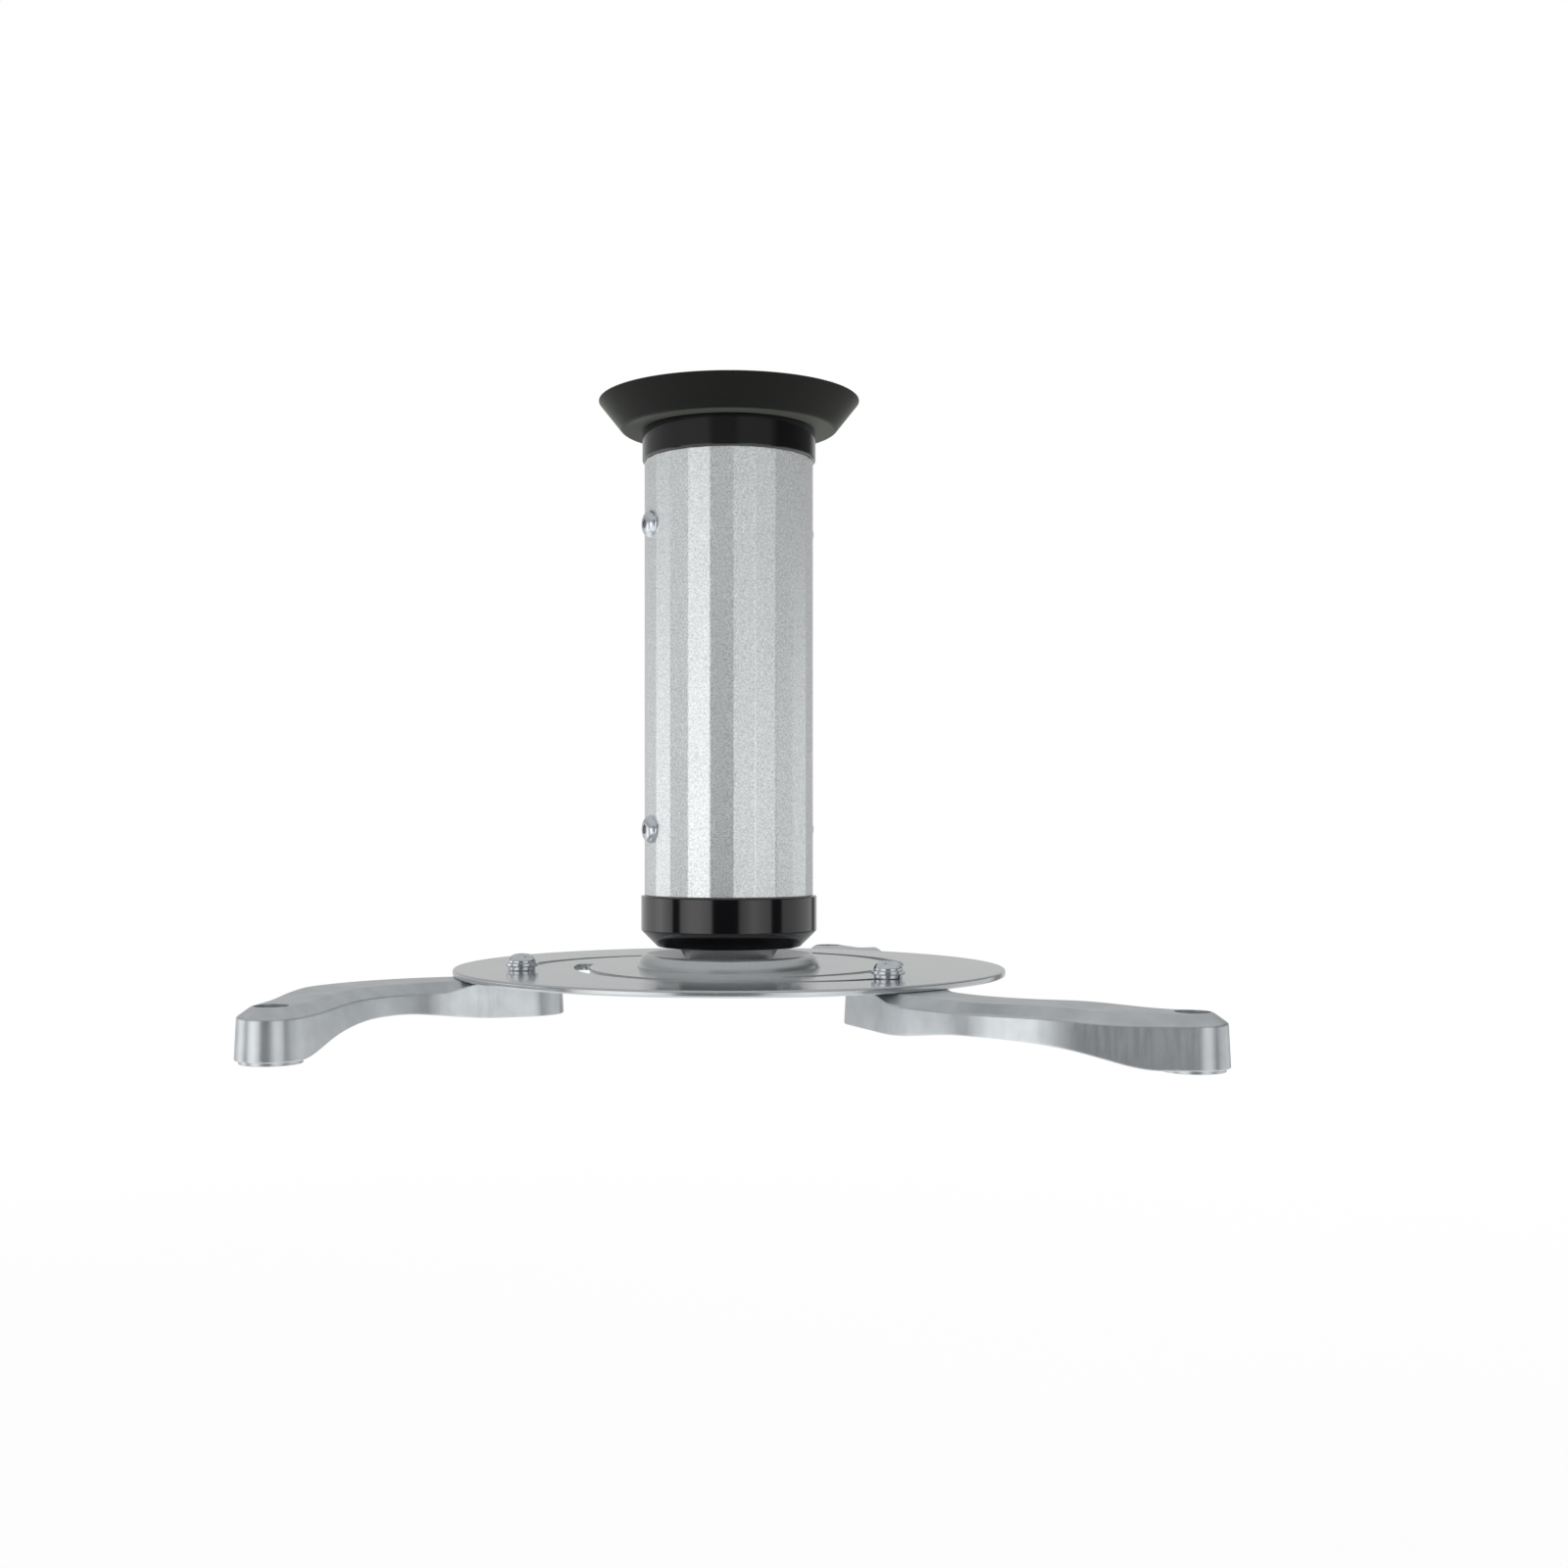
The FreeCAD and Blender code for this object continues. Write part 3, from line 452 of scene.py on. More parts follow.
def softened(corners, steps=4):
    """A closed outline whose corners are rounded. A corner is (across, up, rounding)."""
    # A rounding takes up to this share of a side, and a point this far before it keeps it flat
    most, lead = 0.45, 0.1
    points = []
    count = len(corners)
    for k, (x, z, rounding) in enumerate(corners):
        here = Vector((x, z))
        if rounding <= 0:
            points.append((x, z))
            continue
        before = Vector(corners[k - 1][:2]) - here
        after = Vector(corners[(k + 1) % count][:2]) - here
        reach = min(rounding, most * before.length, most * after.length)
        before.normalize()
        after.normalize()
        start = here + before * reach
        end = here + after * reach
        points.append(tuple(start + before * reach * lead))
        for step in range(steps + 1):
            t = step / steps
            spot = start * (1 - t) ** 2 + here * 2 * t * (1 - t) + end * t ** 2
            points.append(tuple(spot))
        points.append(tuple(end + after * reach * lead))
    return points


def skin(shape, rows):
    """Faces between loops of vertices, where a loop of one is a pole."""
    count = max(len(row) for row in rows)
    for lower, upper in zip(rows, rows[1:]):
        for k in range(count):
            after = (k + 1) % count
            corners = [lower[k % len(lower)], lower[after % len(lower)],
                       upper[after % len(upper)], upper[k % len(upper)]]
            distinct = list(dict.fromkeys(corners))
            if len(distinct) > 2:
                shape.faces.new(distinct)


def lathe(outline, steps):
    """A mesh turned about the Z axis from a closed outline of (radius, z) points."""
    shape = bmesh.new()
    rings = []
    for radius, z in outline:
        points = circle(radius, steps) if radius >= 1e-7 else [(0, 0)]
        rings.append([shape.verts.new((x, y, z)) for x, y in points])
    skin(shape, rings + rings[:1])
    return mesh_from(shape)


def prism(plan, low, high):
    """A mesh of an upright prism over a closed plan of (x, y) points."""
    shape = bmesh.new()
    ends = [[shape.verts.new((x, y, z)) for x, y in plan] for z in (low, high)]
    for end in ends:
        shape.faces.new(end)
    skin(shape, ends)
    return mesh_from(shape)


def disc(radius, low, high, place):
    """An upright cylinder used as a cutter."""
    mesh = prism(circle(radius, 64), low, high)
    mesh.transform(Matrix.Translation(place))
    return mesh


def evaluated_mesh(piece):
    """The piece's mesh with its modifiers applied."""
    graph = bpy.context.evaluated_depsgraph_get()
    graph.update()
    return bpy.data.meshes.new_from_object(piece.evaluated_get(graph))


def cut(mesh, cutters, edge):
    """A mesh with cutters taken out of it, and the new right-angled edges softened."""
    body = new_object("cut_body", mesh)
    tools = [new_object("cut_tool", cutter) for cutter in cutters]
    for tool in tools:
        put(body.modifiers.new("cut", "BOOLEAN"), operation="DIFFERENCE", solver="EXACT",
            object=tool)
    put(body.modifiers.new("edge", "BEVEL"), width=edge, segments=2, limit_method="ANGLE",
        angle_limit=CUT_EDGE, use_clamp_overlap=True)
    result = evaluated_mesh(body)
    for spare in [body] + tools:
        bpy.data.objects.remove(spare)
    return result


RING_TREE = "Set out in a ring"


def ring_tree():
    """Node tree that sets copies of a shape out on a circle, tipped and turned outwards."""
    tree = bpy.data.node_groups.new(RING_TREE, "GeometryNodeTree")
    kinds = {"Geometry": "Geometry", "Count": "Int", "Radius": "Float", "First turn": "Float",
             "Height": "Float", "Tip": "Float", "Finish": "Material"}
    for name, kind in kinds.items():
        tree.interface.new_socket(name, in_out="INPUT", socket_type="NodeSocket" + kind)
    tree.interface.new_socket("Geometry", in_out="OUTPUT", socket_type="NodeSocketGeometry")
    given = add(tree, "NodeGroupInput").outputs
    points = add(tree, "GeometryNodeMeshLine", {"Count": given["Count"]})
    index = add(tree, "GeometryNodeInputIndex")
    step = add(tree, "ShaderNodeMath", {0: 2 * math.pi, 1: given["Count"]}, operation="DIVIDE")
    turn = add(tree, "ShaderNodeMath", {0: index, 1: step, 2: given["First turn"]},
               operation="MULTIPLY_ADD")
    across = []
    for wave in ("COSINE", "SINE"):
        share = add(tree, "ShaderNodeMath", {0: turn}, operation=wave)
        across.append(add(tree, "ShaderNodeMath", {0: share, 1: given["Radius"]},
                          operation="MULTIPLY"))
    place = add(tree, "ShaderNodeCombineXYZ", {
        "X": across[0], "Y": across[1], "Z": given["Height"]})
    placed = add(tree, "GeometryNodeSetPosition", {"Geometry": points, "Position": place})
    facing = add(tree, "ShaderNodeCombineXYZ", {"Y": given["Tip"], "Z": turn})
    copies = add(tree, "GeometryNodeInstanceOnPoints", {
        "Points": placed, "Instance": given["Geometry"], "Rotation": facing})
    real = add(tree, "GeometryNodeRealizeInstances", {"Geometry": copies})
    painted = add(tree, "GeometryNodeSetMaterial", {"Geometry": real, "Material": given["Finish"]})
    add(tree, "NodeGroupOutput", {"Geometry": painted})
    return tree


def set_out(mesh, slot_name, count, radius, first_turn, height, tip=0.0):
    """One mesh of copies of a mesh on a circle."""
    tree = bpy.data.node_groups.get(RING_TREE) or ring_tree()
    seed = new_object("seed", mesh)
    modifier = put(seed.modifiers.new("ring", "NODES"), node_group=tree)
    wanted = {"Count": count, "Radius": radius, "First turn": first_turn, "Height": height,
              "Tip": tip, "Finish": finish_for(slot_name)}
    for item in tree.interface.items_tree:
        if item.in_out == "INPUT" and item.name in wanted:
            modifier[item.identifier] = wanted[item.name]
    result = evaluated_mesh(seed)
    bpy.data.objects.remove(seed)
    return result


def screw_mesh(head, head_height, below):
    """Button head screw standing on z = 0, with a hexagonal socket and rolled thread crests."""
    sizes = bpy.context.scene.mount_fasteners
    rim = head / 2
    shank = sizes.shank / 2
    outline = softened([
        (0, head_height, 0), (0.5 * rim, head_height, 0.5 * MM),
        (0.8 * rim, 0.78 * head_height, 0.7 * MM), (0.99 * rim, 0.3 * head_height, 0.35 * MM),
        (0.99 * rim, 0, 0.15 * MM), (shank, 0, 0)])
    pitch = 0.8 * MM
    depth = 0.25 * MM
    for turn in range(int(below / pitch)):
        outline.append((shank - depth, -(turn + 0.5) * pitch))
        outline.append((shank, -(turn + 1) * pitch))
    outline += [(shank - 2 * depth, -below), (0, -below)]
    socket = prism(circle(sizes.socket / math.sqrt(3), 6), 0.25 * head_height, head_height + MM)
    return cut(lathe(outline, steps=48), [socket], 0.08 * MM)


def washer_mesh(outer, hole, height):
    """Flat washer standing on z = 0."""
    outline = softened([(hole, 0, 0.1 * MM), (outer, 0, 0.25 * MM),
                        (outer, height, 0.25 * MM), (hole, height, 0.1 * MM)], 3)
    return lathe(outline, steps=72)


def spring_mesh(outer, hole, height):
    """Split washer: a square wire wound once, with slanted ends a little apart."""
    shape = bmesh.new()
    steps = 56
    gap = math.radians(12)
    slant = 0.12
    rise = 0.048 * height
    floor, roof, rounding = 0.06 * height, 0.94 * height, 0.12 * MM
    section = softened([(hole, floor, rounding), (outer, floor, rounding),
                        (outer, roof, rounding), (hole, roof, rounding)], 2)
    rows = []
    for k in range(steps + 1):
        t = k / steps
        turn = gap / 2 + (2 * math.pi - gap) * t
        lift = rise * (t - 0.5)
        row = []
        for radius, z in section:
            lean = turn + slant * (z / height - 0.5)
            x, y = radius * math.cos(lean), radius * math.sin(lean)
            row.append(shape.verts.new((x, y, z + lift)))
        rows.append(row)
    skin(shape, rows)
    for end in (rows[0], rows[-1]):
        shape.faces.new(end)
    return mesh_from(shape)


class MOUNT_OT_cover(bpy.types.Operator):
    """Dark cover that hides the ceiling plate"""
    bl_idname = "mount.cover"
    bl_label = "Ceiling cover"

    def execute(self, context):
        sizes = context.scene.mount_tube
        rim, low = extent("ceiling_cover")[:2]
        hole = extent("ceiling_spigot")[0] + 0.1 * MM
        wall = sizes.cover_wall
        flare = rim - sizes.cover_floor
        inner = rim - wall / math.sin(math.atan2(-low, flare))
        outline = softened([
            (hole, low, 0.2 * MM), (sizes.cover_floor, low, 1.0 * MM), (rim, 0, 0.25 * MM),
            (inner, 0, 0.25 * MM), (inner + flare / -low * (low + wall), low + wall, 0.8 * MM),
            (hole, low + wall, 0.2 * MM)])
        make_piece("ceiling_cover_skin", lathe(outline, ROUND), "cover_black", "root",
                   "ceiling_cover")
        return {"FINISHED"}


class MOUNT_OT_collars(bpy.types.Operator):
    """Gloss black collars at both ends of the tube"""
    bl_idname = "mount.collars"
    bl_label = "Collars"

    def execute(self, context):
        sizes = context.scene.mount_tube
        bore = sizes.radius - sizes.wall
        outer, low, high = extent("upper_collar")
        upper = [(bore, low, 0.1 * MM), (outer, low, sizes.edge), (outer, high, sizes.edge),
                 (bore, high, 0.1 * MM)]
        outer, low, high = extent("lower_collar")
        pivot = place_of(JOINTS, "tilt").z
        seat = extent("ball")[0] + 0.1 * MM
        lip = pivot + 1.8 * MM
        levels = [low + (pivot - low) * k / 6 for k in range(7)]
        lower = [(bore, high, 0.1 * MM), (outer, high, sizes.edge),
                 (outer, low + sizes.chamfer, 0.35 * MM), (outer - sizes.chamfer, low, 0.35 * MM)]
        lower += [(math.sqrt(seat ** 2 - (z - pivot) ** 2), z, 0) for z in levels]
        lower += [(seat, lip, 0), (bore, lip, 0)]
        for node, corners in (("upper_collar", upper), ("lower_collar", lower)):
            make_piece(node + "_shell", lathe(softened(corners), ROUND), "collar_black", "root",
                       node)
        return {"FINISHED"}


class MOUNT_OT_tube(bpy.types.Operator):
    """Silver tube with flat facets"""
    bl_idname = "mount.tube"
    bl_label = "Faceted tube"

    def execute(self, context):
        sizes = context.scene.mount_tube
        low, high = extent("tube")[1:]
        bore = sizes.radius - sizes.wall
        corners = circle(sizes.radius, sizes.facets, sizes.facet_turn)
        plan = softened([(x, y, sizes.corner) for x, y in corners], 2)
        turns = [math.atan2(y, x) for x, y in plan]
        inner = [(bore * math.cos(turn), bore * math.sin(turn)) for turn in turns]
        edge = 0.3 * MM
        drawn_in = 1 - edge / sizes.radius
        shape = bmesh.new()
        rows = []
        for row, z, share in ((inner, low, 1), (plan, low, drawn_in), (plan, low + edge, 1),
                              (plan, high - edge, 1), (plan, high, drawn_in), (inner, high, 1)):
            rows.append([shape.verts.new((x * share, y * share, z)) for x, y in row])
        skin(shape, rows + rows[:1])
        make_piece("tube_skin", mesh_from(shape), "tube_silver", "root", "tube", TUBE_EDGE)
        return {"FINISHED"}


class MOUNT_OT_side_screws(bpy.types.Operator):
    """Opposed button head screws through the tube"""
    bl_idname = "mount.side_screws"
    bl_label = "Side screws"

    def execute(self, context):
        sizes = context.scene.mount_fasteners
        tube = context.scene.mount_tube
        flat = tube.radius * math.cos(math.pi / tube.facets)
        for node in ("upper_side_screws", "lower_side_screws"):
            low, high = extent(node)[1:]
            screw = screw_mesh(sizes.side_head, sizes.side_head_height, 9 * MM)
            pair = set_out(screw, "zinc_steel", 2, flat, tube.screw_turn, (low + high) / 2,
                           math.pi / 2)
            make_piece(node + "_finished", pair, "zinc_steel", "root", node, FLAT_EDGE)
        return {"FINISHED"}


class MOUNT_OT_joint(bpy.types.Operator):
    """Ball, friction ring, stop ring and the bolt under the plate"""
    bl_idname = "mount.joint"
    bl_label = "Ball joint"

    def execute(self, context):
        foot, low, high = extent("stop_ring")
        slope = 2.86 * MM
        ridge = foot - slope
        bore = foot - 9.6 * MM
        rise = high - low
        outline = softened([
            (bore, low, 0), (foot, low, 0.1 * MM),
            (ridge + 0.86 * slope, low + 0.36 * rise, 0.8 * MM),
            (ridge + 0.45 * slope, low + 0.8 * rise, 0.8 * MM),
            (ridge, high, 0.45 * MM), (bore + 0.3 * MM, low + 0.5 * MM, 0.2 * MM)])
        make_piece("stop_ring_skin", lathe(outline, ROUND), "plate_silver", "plate", "stop_ring")
        self.make_ball()
        dress_node("upper_seat", "seat_nylon")
        dress_node("lower_plug", "turned_aluminium")
        for node in ("centre_washer", "ring_screws", "centre_bolt"):
            dress_node(node, "zinc_steel")
        return {"FINISHED"}

    def make_ball(self):
        """Satin ball over its spigot, with a blind bore for the bolt."""
        low, high = extent("ball")[1:]
        pivot = place_of(JOINTS, "tilt").z
        radius, spigot, bore = 19.0 * MM, 7.0 * MM, 4.05 * MM
        bore_end = low + 20 * MM
        plate_top = extent("mounting_plate")[2] + PLAY
        start = math.asin((plate_top - pivot) / radius)
        end = math.asin((high - pivot) / radius)
        steps = 28
        turns = [start + (end - start) * k / steps for k in range(steps + 1)]
        arc = [(radius * math.cos(turn), pivot + radius * math.sin(turn), 0) for turn in turns]
        outline = softened([(bore, low, 0), (spigot, low, 0.15 * MM), (spigot, plate_top, 0)]
                           + arc + [(0, high, 0), (0, bore_end, 0), (bore, bore_end, 0)])
        make_piece("ball_satin", lathe(outline, steps=96), "ball_steel", "ball", "ball")


def slot_plan(sizes, centre, turn):
    """Plan of one curved slot with round ends."""
    half = sizes.slot_width / 2
    points = []
    steps, tip_steps = 72, 12
    start, end = sizes.slot_from + turn, sizes.slot_to + turn
    for side, (first, last) in ((1, (start, end)), (-1, (end, start))):
        radius = sizes.slot_radius + side * half
        for k in range(steps + 1):
            a = first + (last - first) * k / steps
            points.append((centre.x + radius * math.cos(a), centre.y + radius * math.sin(a)))
        tip = Vector((centre.x + sizes.slot_radius * math.cos(last),
                      centre.y + sizes.slot_radius * math.sin(last)))
        for k in range(1, tip_steps):
            b = last + (0 if side > 0 else math.pi) + math.pi * k / tip_steps
            points.append((tip.x + half * math.cos(b), tip.y + half * math.sin(b)))
    return points


class MOUNT_OT_plate(bpy.types.Operator):
    """Round plate with three curved slots"""
    bl_idname = "mount.plate"
    bl_label = "Mounting plate"

    def execute(self, context):
        sizes = context.scene.mount_plate
        outer, low, high = extent("mounting_plate")
        hole = 7.08 * MM
        outline = softened([(hole, low, 0), (outer, low, sizes.edge), (outer, high, sizes.edge),
                            (hole, high, 0)], 8)
        cutters = []
        for k, name in enumerate(ARM_NAMES):
            centre = place_of(JOINTS, "arm_slide_" + name)
            plan = slot_plan(sizes, centre, 2 * math.pi * k / len(ARM_NAMES))
            cutters.append(prism(plan, low - MM, high + MM))
        mesh = cut(lathe(outline, steps=256), cutters, sizes.slot_edge)
        make_piece("mounting_plate_finished", mesh, "plate_silver", "plate", "mounting_plate",
                   FLAT_EDGE)
        return {"FINISHED"}


def ease(t):
    """Smooth step from 0 to 1."""
    t = max(0.0, min(1.0, t))
    return t * t * (3 - 2 * t)


def around(radius, turn):
    """A plan vector of a length and a direction."""
    return Vector((radius * math.cos(turn), radius * math.sin(turn)))


def hermite(s, knots):
    """Smooth curve through three knots that leaves and arrives level."""
    (s0, z0), (s1, z1), (s2, z2) = knots
    h0, h1 = s1 - s0, s2 - s1
    middle = 1.5 * ((z1 - z0) / h0 ** 2 + (z2 - z1) / h1 ** 2) / (1 / h0 + 1 / h1)
    if s < s1:
        start, span, za, zb, ma, mb = s0, h0, z0, z1, 0.0, middle
    else:
        start, span, za, zb, ma, mb = s1, h1, z1, z2, middle, 0.0
    t = (s - start) / span
    return ((2 * t ** 3 - 3 * t ** 2 + 1) * za + (t ** 3 - 2 * t ** 2 + t) * span * ma
            + (3 * t ** 2 - 2 * t ** 3) * zb + (t ** 3 - t ** 2) * span * mb)


def arm_underside(sizes, reach, s):
    """Depth of the arm's underside at a distance along its screw-to-hole line."""
    waist, knee = reach - sizes.waist_back, reach - sizes.knee_back
    foot = reach - sizes.foot_back
    if s < waist:
        return sizes.near_depth + (sizes.waist_depth - sizes.near_depth) * ease(
            (s - sizes.near_flat) / (waist - sizes.near_flat))
    if s >= foot:
        return sizes.far_depth
    return hermite(s, ((waist, sizes.waist_depth), (knee, sizes.knee_depth),
                       (foot, sizes.far_depth)))


def arm_line(sizes):
    """Bend centre and far hole in plan, with the near leg along +X."""
    bend = Vector((sizes.near_leg, sizes.bend_radius))
    far = bend + around(sizes.bend_radius, sizes.bend - math.pi / 2)
    return bend, far + around(sizes.far_leg, sizes.bend)


def arm_plan_point(sizes, grow, side, portion):
    """A point of the arm's plan, its far hole on +X. Side is 1 left or -1 right.

    The portion runs from the near tip (0) over the near round, near leg, bend, far leg and
    far round to the far tip (5).
    """
    near, far = sizes.near_radius + grow, sizes.far_radius + grow
    bend, hole = arm_line(sizes)
    across = hole - bend
    radius = sizes.bend_radius - side * near
    touch = math.atan2(across.y, across.x) - math.acos((radius + side * far) / across.length)
    if portion <= 1:
        point = around(near, math.pi - side * portion * math.pi / 2)
    elif portion <= 2:
        point = Vector((sizes.near_leg * (portion - 1), side * near))
    elif portion <= 3:
        point = bend + around(radius, (touch + math.pi / 2) * (portion - 2) - math.pi / 2)
    elif portion <= 4:
        start = bend + around(radius, touch)
        point = start.lerp(hole - side * around(far, touch), portion - 3)
    else:
        start = touch + (math.pi if side > 0 else 0)
        point = hole + around(far, start + (sizes.bend - start) * (portion - 4))
    point.rotate(Matrix.Rotation(-math.atan2(hole.y, hole.x), 2))
    return point


def arm_section(sizes):
    """Edge section of the arm as (inset, drop, whether the drop counts from the underside)."""
    width, height = sizes.bevel_width, sizes.bevel_height
    # The wall is drawn this deep, and what lies lower than the bevel's foot is let down
    wall, foot = 9 * MM, height + 1.2 * MM
    corners = [(width + 2 * MM, 0, 0), (width, 0, 0.5 * MM), (0, height, 0.5 * MM),
               (0, wall, 0.5 * MM), (2.5 * MM, wall, 0)]
    points = softened(corners, 3)[1:]
    return [(inset, drop, False) if drop <= foot else (inset, drop - wall, True)
            for inset, drop in points]


def cap(shape, ring, half, columns=6):
    """Close a ring across its width, level from left to right."""
    count = len(ring)
    rows = []
    for k in range(1, half - 1):
        left, right = ring[k], ring[count - k]
        row = [left]
        for column in range(1, columns):
            row.append(shape.verts.new(left.co.lerp(right.co, column / columns)))
        rows.append(row + [right])
    for first, second in zip(rows, rows[1:]):
        for column in range(columns):
            shape.faces.new((first[column], first[column + 1], second[column + 1],
                             second[column]))
    for tip, row in ((ring[0], rows[0]), (ring[half - 1], rows[-1])):
        for column in range(columns):
            shape.faces.new((tip, row[column], row[column + 1]))


def arm_mesh(sizes):
    """Cast arm along +X with its top at z = 0: a skin of rings round its plan, capped."""
    # Faces along each portion of the plan
    counts = (16, 10, 32, 18, 20)
    portions = [leg + k / count for leg, count in enumerate(counts) for k in range(count)] + [5]
    spread = math.tan(sizes.draft)
    reach = arm_line(sizes)[1].length
    fall = math.tan(sizes.pad_slope)
    easing = sizes.flat_back - sizes.drop_back
    height = sizes.bevel_height
    half = len(portions)
    shape = bmesh.new()
    rings = []
    for inset, drop, under in arm_section(sizes):
        ring = []
        for side, part in ((1, portions), (-1, portions[1:-1])):
            for portion in part:
                edge = arm_plan_point(sizes, 0.0, side, portion)
                top = -sizes.top_drop * ease((edge.x - reach + sizes.flat_back) / easing)
                if under:
                    z = -arm_underside(sizes, reach, edge.x) - drop
                else:
                    inner = arm_plan_point(sizes, -inset, side, portion)
                    limit = max(0.0, inner.length - sizes.pad_radius) * fall
                    z = top - min(drop, limit, height) - max(0.0, drop - height)
                point = arm_plan_point(sizes, -inset - spread * z, side, portion)
                ring.append(shape.verts.new((*point, z)))
        rings.append(ring[:half] + ring[:half - 1:-1])
    skin(shape, rings)
    for end in (rings[0], rings[-1]):
        cap(shape, end, half)
    return mesh_from(shape)


class MOUNT_OT_arms(bpy.types.Operator):
    """Three cast arms with bevelled upper edges"""
    bl_idname = "mount.arms"
    bl_label = "Cast arms"

    def execute(self, context):
        cast = self.make_casting(context.scene.mount_arms)
        top = extent("mounting_plate")[1] - PLAY
        for name in ARM_NAMES:
            screw = place_of(JOINTS, "arm_swing_" + name)
            end = place_of(MOUNTS, "projector_hole_" + name)
            heading = math.atan2(end.y - screw.y, end.x - screw.x)
            place = Matrix.Translation((screw.x, screw.y, top)) @ Matrix.Rotation(heading, 4, "Z")
            mesh = cast.copy()
            mesh.transform(place)
            make_piece("arm_" + name + "_cast", mesh, "cast_aluminium", "arm_" + name,
                       "arm_" + name, FLAT_EDGE)
        return {"FINISHED"}

    def make_casting(self, sizes):
        """An arm with its holes, and with the thin boss under its far end."""
        far = Vector((arm_line(sizes)[1].length, 0, 0))
        screw_hole = 2.58 * MM
        above, below = 10 * MM, -20 * MM
        mesh = cut(arm_mesh(sizes), [
            disc(sizes.sink / 2, -sizes.top_drop - sizes.sink_depth, above, far),
            disc(sizes.hole / 2, below, above, far),
            disc(screw_hole, below, above, Vector((0, 0, 0)))], 0.3 * MM)
        foot = -sizes.far_depth
        sole, sunk = foot - sizes.boss_height, foot + 0.2 * MM
        boss = lathe(softened([
            (sizes.hole / 2, sole, 0.2 * MM), (sizes.boss / 2, sole, 0.3 * MM),
            (sizes.boss / 2, sunk, 0), (sizes.hole / 2, sunk, 0)]), steps=72)
        boss.transform(Matrix.Translation(far))
        joined = bmesh.new()
        joined.from_mesh(mesh)
        joined.from_mesh(boss)
        cast = bpy.data.meshes.new("arm")
        joined.to_mesh(cast)
        joined.free()
        return cast


class MOUNT_OT_arm_clamps(bpy.types.Operator):
    """Screw, flat washer and spring washer of each arm"""
    bl_idname = "mount.arm_clamps"
    bl_label = "Arm clamps"

    def execute(self, context):
        sizes = context.scene.mount_fasteners
        plate_top = extent("mounting_plate")[2] + PLAY
        spring_top = plate_top + sizes.spring_washer_height
        head = spring_top + sizes.flat_washer_height
        hole = sizes.washer_hole / 2
        for name in ARM_NAMES:
            spot = place_of(JOINTS, "arm_swing_" + name)
            below = head - extent("arm_screw_" + name)[1]
            screw = screw_mesh(sizes.arm_head, sizes.arm_head_height, below)
            flat = washer_mesh(sizes.flat_washer / 2, hole, sizes.flat_washer_height)
            spring = spring_mesh(sizes.spring_washer / 2, hole, sizes.spring_washer_height)
            for node, mesh, z in (("arm_screw_", screw, head), ("flat_washer_", flat, spring_top),
                                  ("spring_washer_", spring, plate_top)):
                placed = set_out(mesh, "zinc_steel", 1, math.hypot(spot.x, spot.y),
                                 math.atan2(spot.y, spot.x), z)
                make_piece(node + name + "_finished", placed, "zinc_steel", "clamp_" + name,
                           node + name, FLAT_EDGE)
        return {"FINISHED"}


class MOUNT_OT_ceiling_parts(bpy.types.Operator):
    """Plate, spigot and screws behind the cover"""
    bl_idname = "mount.ceiling_parts"
    bl_label = "Ceiling parts"

    def execute(self, context):
        dress_node("ceiling_plate", "zinc_steel")
        dress_node("spigot_screws", "zinc_steel")
        dress_node("ceiling_spigot", "turned_aluminium")
        return {"FINISHED"}


# Lamps as (name, place, size, watts)
LAMPS = (("key", (-1.3, -1.5, 0.7), 1.2, 18.0), ("fill", (1.4, -1.0, -0.35), 0.5, 10.5),
         ("rear", (0.6, 1.8, 0.9), 1.2, 6.0))
# Brightness, as a share of white, that matte surfaces see, and of the panels that metal sees
FILL = 0.7
OVERHEAD = 0.5
UNDERNEATH = 1.0
# Where one height's panels pass into the next, as shares of the way up
TO_UPPER = (0.03, 0.2)
TO_OVERHEAD = (0.24, 0.6)
TO_UNDERNEATH = (-0.2, -0.6)
# Brightness round the compass as (degrees from +X, share of white)
EYE_LEVEL_BANDS = (
    (0, 0.65), (20, 0.72), (46, 0.7), (50, 0.15), (60, 0.15), (64, 0.62), (90, 0.6),
    (115, 0.6), (140, 0.6), (155, 0.8), (170, 1.4), (190, 0.9), (193, 0.05), (202, 0.05),
    (205, 1.0), (218, 1.5), (230, 1.5), (246, 1.1), (250, 0.04), (281, 0.04), (285, 0.68),
    (302, 1.25), (325, 0.75), (328, 0.04), (341, 0.04), (344, 0.6))
UPPER_BANDS = (
    (0, 0.05), (45, 0.1), (65, 0.5), (115, 0.5), (140, 0.35), (190, 0.34), (205, 0.36),
    (240, 0.36), (250, 0.16), (278, 0.16), (285, 0.26), (325, 0.24), (338, 0.05))


def compass(tree, share, bands):
    """Brightness round the compass, from bands whose degrees run round from +X."""
    node = add(tree, "ShaderNodeValToRGB", {"Fac": share})
    elements = node.color_ramp.elements
    stops = sorted(((degrees + 180) % 360 / 360, value) for degrees, value in bands)
    first, last = stops[0], stops[-1]
    seam = first[1] + (last[1] - first[1]) * first[0] / (1 + first[0] - last[0])
    for k, (position, value) in enumerate([(0.0, seam)] + stops + [(1.0, seam)]):
        element = elements[k] if k < 2 else elements.new(position)
        element.position = position
        element.color = grey(value)
    return node.outputs["Color"]


def blend(tree, value, limits, first, second):
    """Two brightnesses, eased from one to the other as a value runs between two limits."""
    share = add(tree, "ShaderNodeMapRange", {
        "Value": value, "From Min": limits[0], "From Max": limits[1]},
        interpolation_type="SMOOTHSTEP")
    mixed = add(tree, "ShaderNodeMix", {"Factor": share, "A": first, "B": second},
                data_type="RGBA")
    return mixed.outputs["Result"]


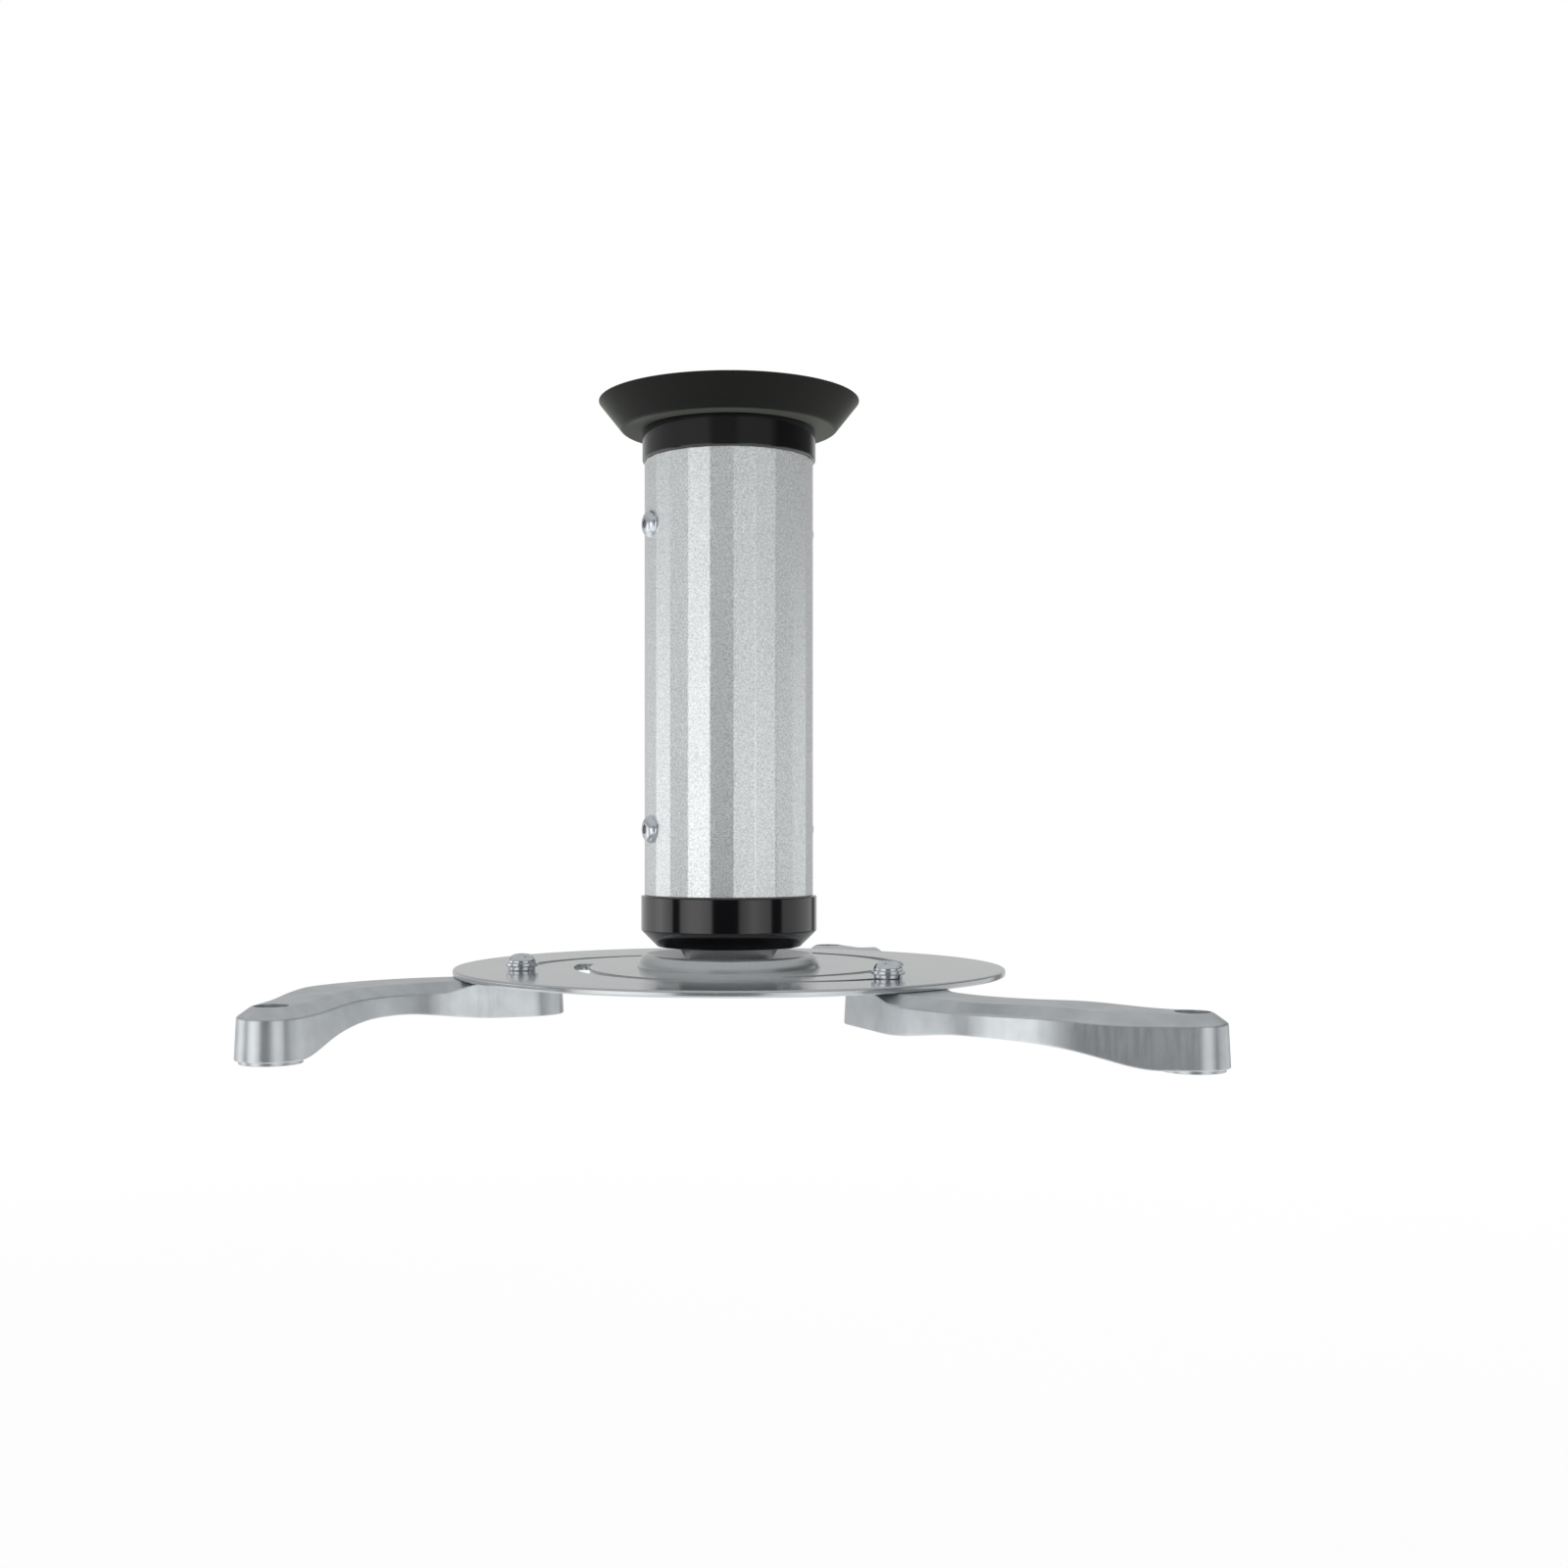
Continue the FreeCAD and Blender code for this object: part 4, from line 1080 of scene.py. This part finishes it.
class MOUNT_OT_stage(bpy.types.Operator):
    """Pale floor, soft studio light and the camera"""
    bl_idname = "mount.stage"
    bl_label = "Studio"

    def execute(self, context):
        settings = context.scene.mount_stage
        self.make_camera(settings)
        self.make_floor(settings)
        self.make_world()
        self.make_lamps()
        context.scene.view_settings.view_transform = "Standard"
        return {"FINISHED"}

    def make_camera(self, settings):
        """Level camera between the collars' heights, looking along +Y."""
        data = put(bpy.data.cameras.new("camera"), lens=settings.lens, clip_end=50,
                   shift_x=settings.shift_x, shift_y=settings.shift_y)
        camera = new_object("camera", data)
        camera.location = (0, -settings.distance, settings.height)
        camera.rotation_euler = (math.pi / 2, 0, 0)
        bpy.context.scene.camera = camera

    def make_floor(self, settings):
        """Wide pale floor, well under the hanging mount."""
        half, thickness = 6.0, 0.01
        top = CAD_BOX[0][2] - settings.floor_drop
        plan = [(-half, -half), (half, -half), (half, half), (-half, half)]
        mesh = prism(plan, top - thickness, top)
        material = bpy.data.materials.new("Studio paper")
        material.use_nodes = True
        tree = material.node_tree
        tree.nodes.clear()
        paper = to_linear(settings.paper)
        matte = add(tree, "ShaderNodeBsdfDiffuse", {"Color": paper})
        bright = add(tree, "ShaderNodeEmission", {"Color": paper, "Strength": 1.0})
        place = add(tree, "ShaderNodeTexCoord").outputs["Object"]
        apart = add(tree, "ShaderNodeVectorMath", {0: place}, operation="LENGTH")
        glow = add(tree, "ShaderNodeMapRange", {
            "Value": apart.outputs["Value"], "From Min": 1.0, "From Max": 2.2, "To Min": 0.8,
            "To Max": 1.0})
        rays = add(tree, "ShaderNodeLightPath").outputs
        most = add(tree, "ShaderNodeMath", {0: rays["Is Camera Ray"], 1: glow},
                   operation="MULTIPLY")
        both = add(tree, "ShaderNodeMixShader", {"Fac": most, 1: matte, 2: bright})
        add(tree, "ShaderNodeOutputMaterial", {"Surface": both})
        mesh.materials.append(material)
        floor = put(new_object("floor", mesh), visible_glossy=False)

    def make_world(self):
        """White backdrop; metal and lacquer also see the gaps between the studio's panels."""
        world = bpy.data.worlds.new("studio")
        bpy.context.scene.world = world
        world.use_nodes = True
        tree = world.node_tree
        tree.nodes.clear()
        way = add(tree, "ShaderNodeTexCoord").outputs["Generated"]
        apart = add(tree, "ShaderNodeSeparateXYZ", {"Vector": way}).outputs
        turn = add(tree, "ShaderNodeMath", {0: apart["Y"], 1: apart["X"]}, operation="ARCTAN2")
        share = add(tree, "ShaderNodeMapRange", {
            "Value": turn, "From Min": -math.pi, "From Max": math.pi})
        eye_level = compass(tree, share, EYE_LEVEL_BANDS)
        upper = compass(tree, share, UPPER_BANDS)
        panels = blend(tree, apart["Z"], TO_UPPER, eye_level, upper)
        panels = blend(tree, apart["Z"], TO_OVERHEAD, panels, grey(OVERHEAD))
        panels = blend(tree, apart["Z"], TO_UNDERNEATH, panels, grey(UNDERNEATH))
        studio, fill, white = [
            add(tree, "ShaderNodeBackground", {"Color": tone, "Strength": strength})
            for tone, strength in ((panels, 1.0), (grey(1.0), FILL), (grey(1.0), 1.0))]
        rays = add(tree, "ShaderNodeLightPath").outputs
        lit = add(tree, "ShaderNodeMixShader", {"Fac": rays["Is Glossy Ray"], 1: fill, 2: studio})
        seen = add(tree, "ShaderNodeMath", {
            0: rays["Is Camera Ray"], 1: rays["Is Transmission Ray"]}, operation="MAXIMUM")
        both = add(tree, "ShaderNodeMixShader", {"Fac": seen, 1: lit, 2: white})
        add(tree, "ShaderNodeOutputWorld", {"Surface": both})

    def make_lamps(self):
        """Soft key on the left, fill on the right, a weak rear light: for matte surfaces only."""
        middle = Vector((0, 0, -0.15))
        for name, place, size, power in LAMPS:
            data = put(bpy.data.lights.new(name, "AREA"), size=size, energy=power)
            lamp = put(new_object(name, data), visible_glossy=False, location=place)
            lamp.rotation_euler = (middle - Vector(place)).to_track_quat("-Z", "Y").to_euler()


OPERATORS = (MOUNT_OT_cover, MOUNT_OT_collars, MOUNT_OT_tube, MOUNT_OT_side_screws,
             MOUNT_OT_joint, MOUNT_OT_plate, MOUNT_OT_arms, MOUNT_OT_arm_clamps,
             MOUNT_OT_ceiling_parts, MOUNT_OT_stage)


class MOUNT_PT_panel(bpy.types.Panel):
    """Lists the steps that build the mount"""
    bl_idname = "MOUNT_PT_panel"
    bl_label = "Projector ceiling mount"
    bl_space_type = "VIEW_3D"
    bl_region_type = "UI"
    bl_category = "Mount"

    def draw(self, context):
        for operator in OPERATORS:
            self.layout.operator(operator.bl_idname)


SETTINGS = {"mount_tube": MountTubeSettings, "mount_plate": MountPlateSettings,
            "mount_arms": MountArmSettings, "mount_fasteners": MountFastenerSettings,
            "mount_finish": MountFinishSettings, "mount_stage": MountStageSettings}


def register():
    """Make the settings, steps and panel known."""
    for name, group in SETTINGS.items():
        bpy.utils.register_class(group)
        setattr(bpy.types.Scene, name, bpy.props.PointerProperty(type=group))
    for operator in OPERATORS:
        bpy.utils.register_class(operator)
    bpy.utils.register_class(MOUNT_PT_panel)


def unregister():
    """Take them away again."""
    bpy.utils.unregister_class(MOUNT_PT_panel)
    for operator in reversed(OPERATORS):
        bpy.utils.unregister_class(operator)
    for name, group in SETTINGS.items():
        delattr(bpy.types.Scene, name)
        bpy.utils.unregister_class(group)


def main():
    """Build every piece and the stage."""
    register()
    bpy.ops.mount.cover()
    bpy.ops.mount.collars()
    bpy.ops.mount.tube()
    bpy.ops.mount.side_screws()
    bpy.ops.mount.joint()
    bpy.ops.mount.plate()
    bpy.ops.mount.arms()
    bpy.ops.mount.arm_clamps()
    bpy.ops.mount.ceiling_parts()
    bpy.ops.mount.stage()


if __name__ == "__main__":
    main()
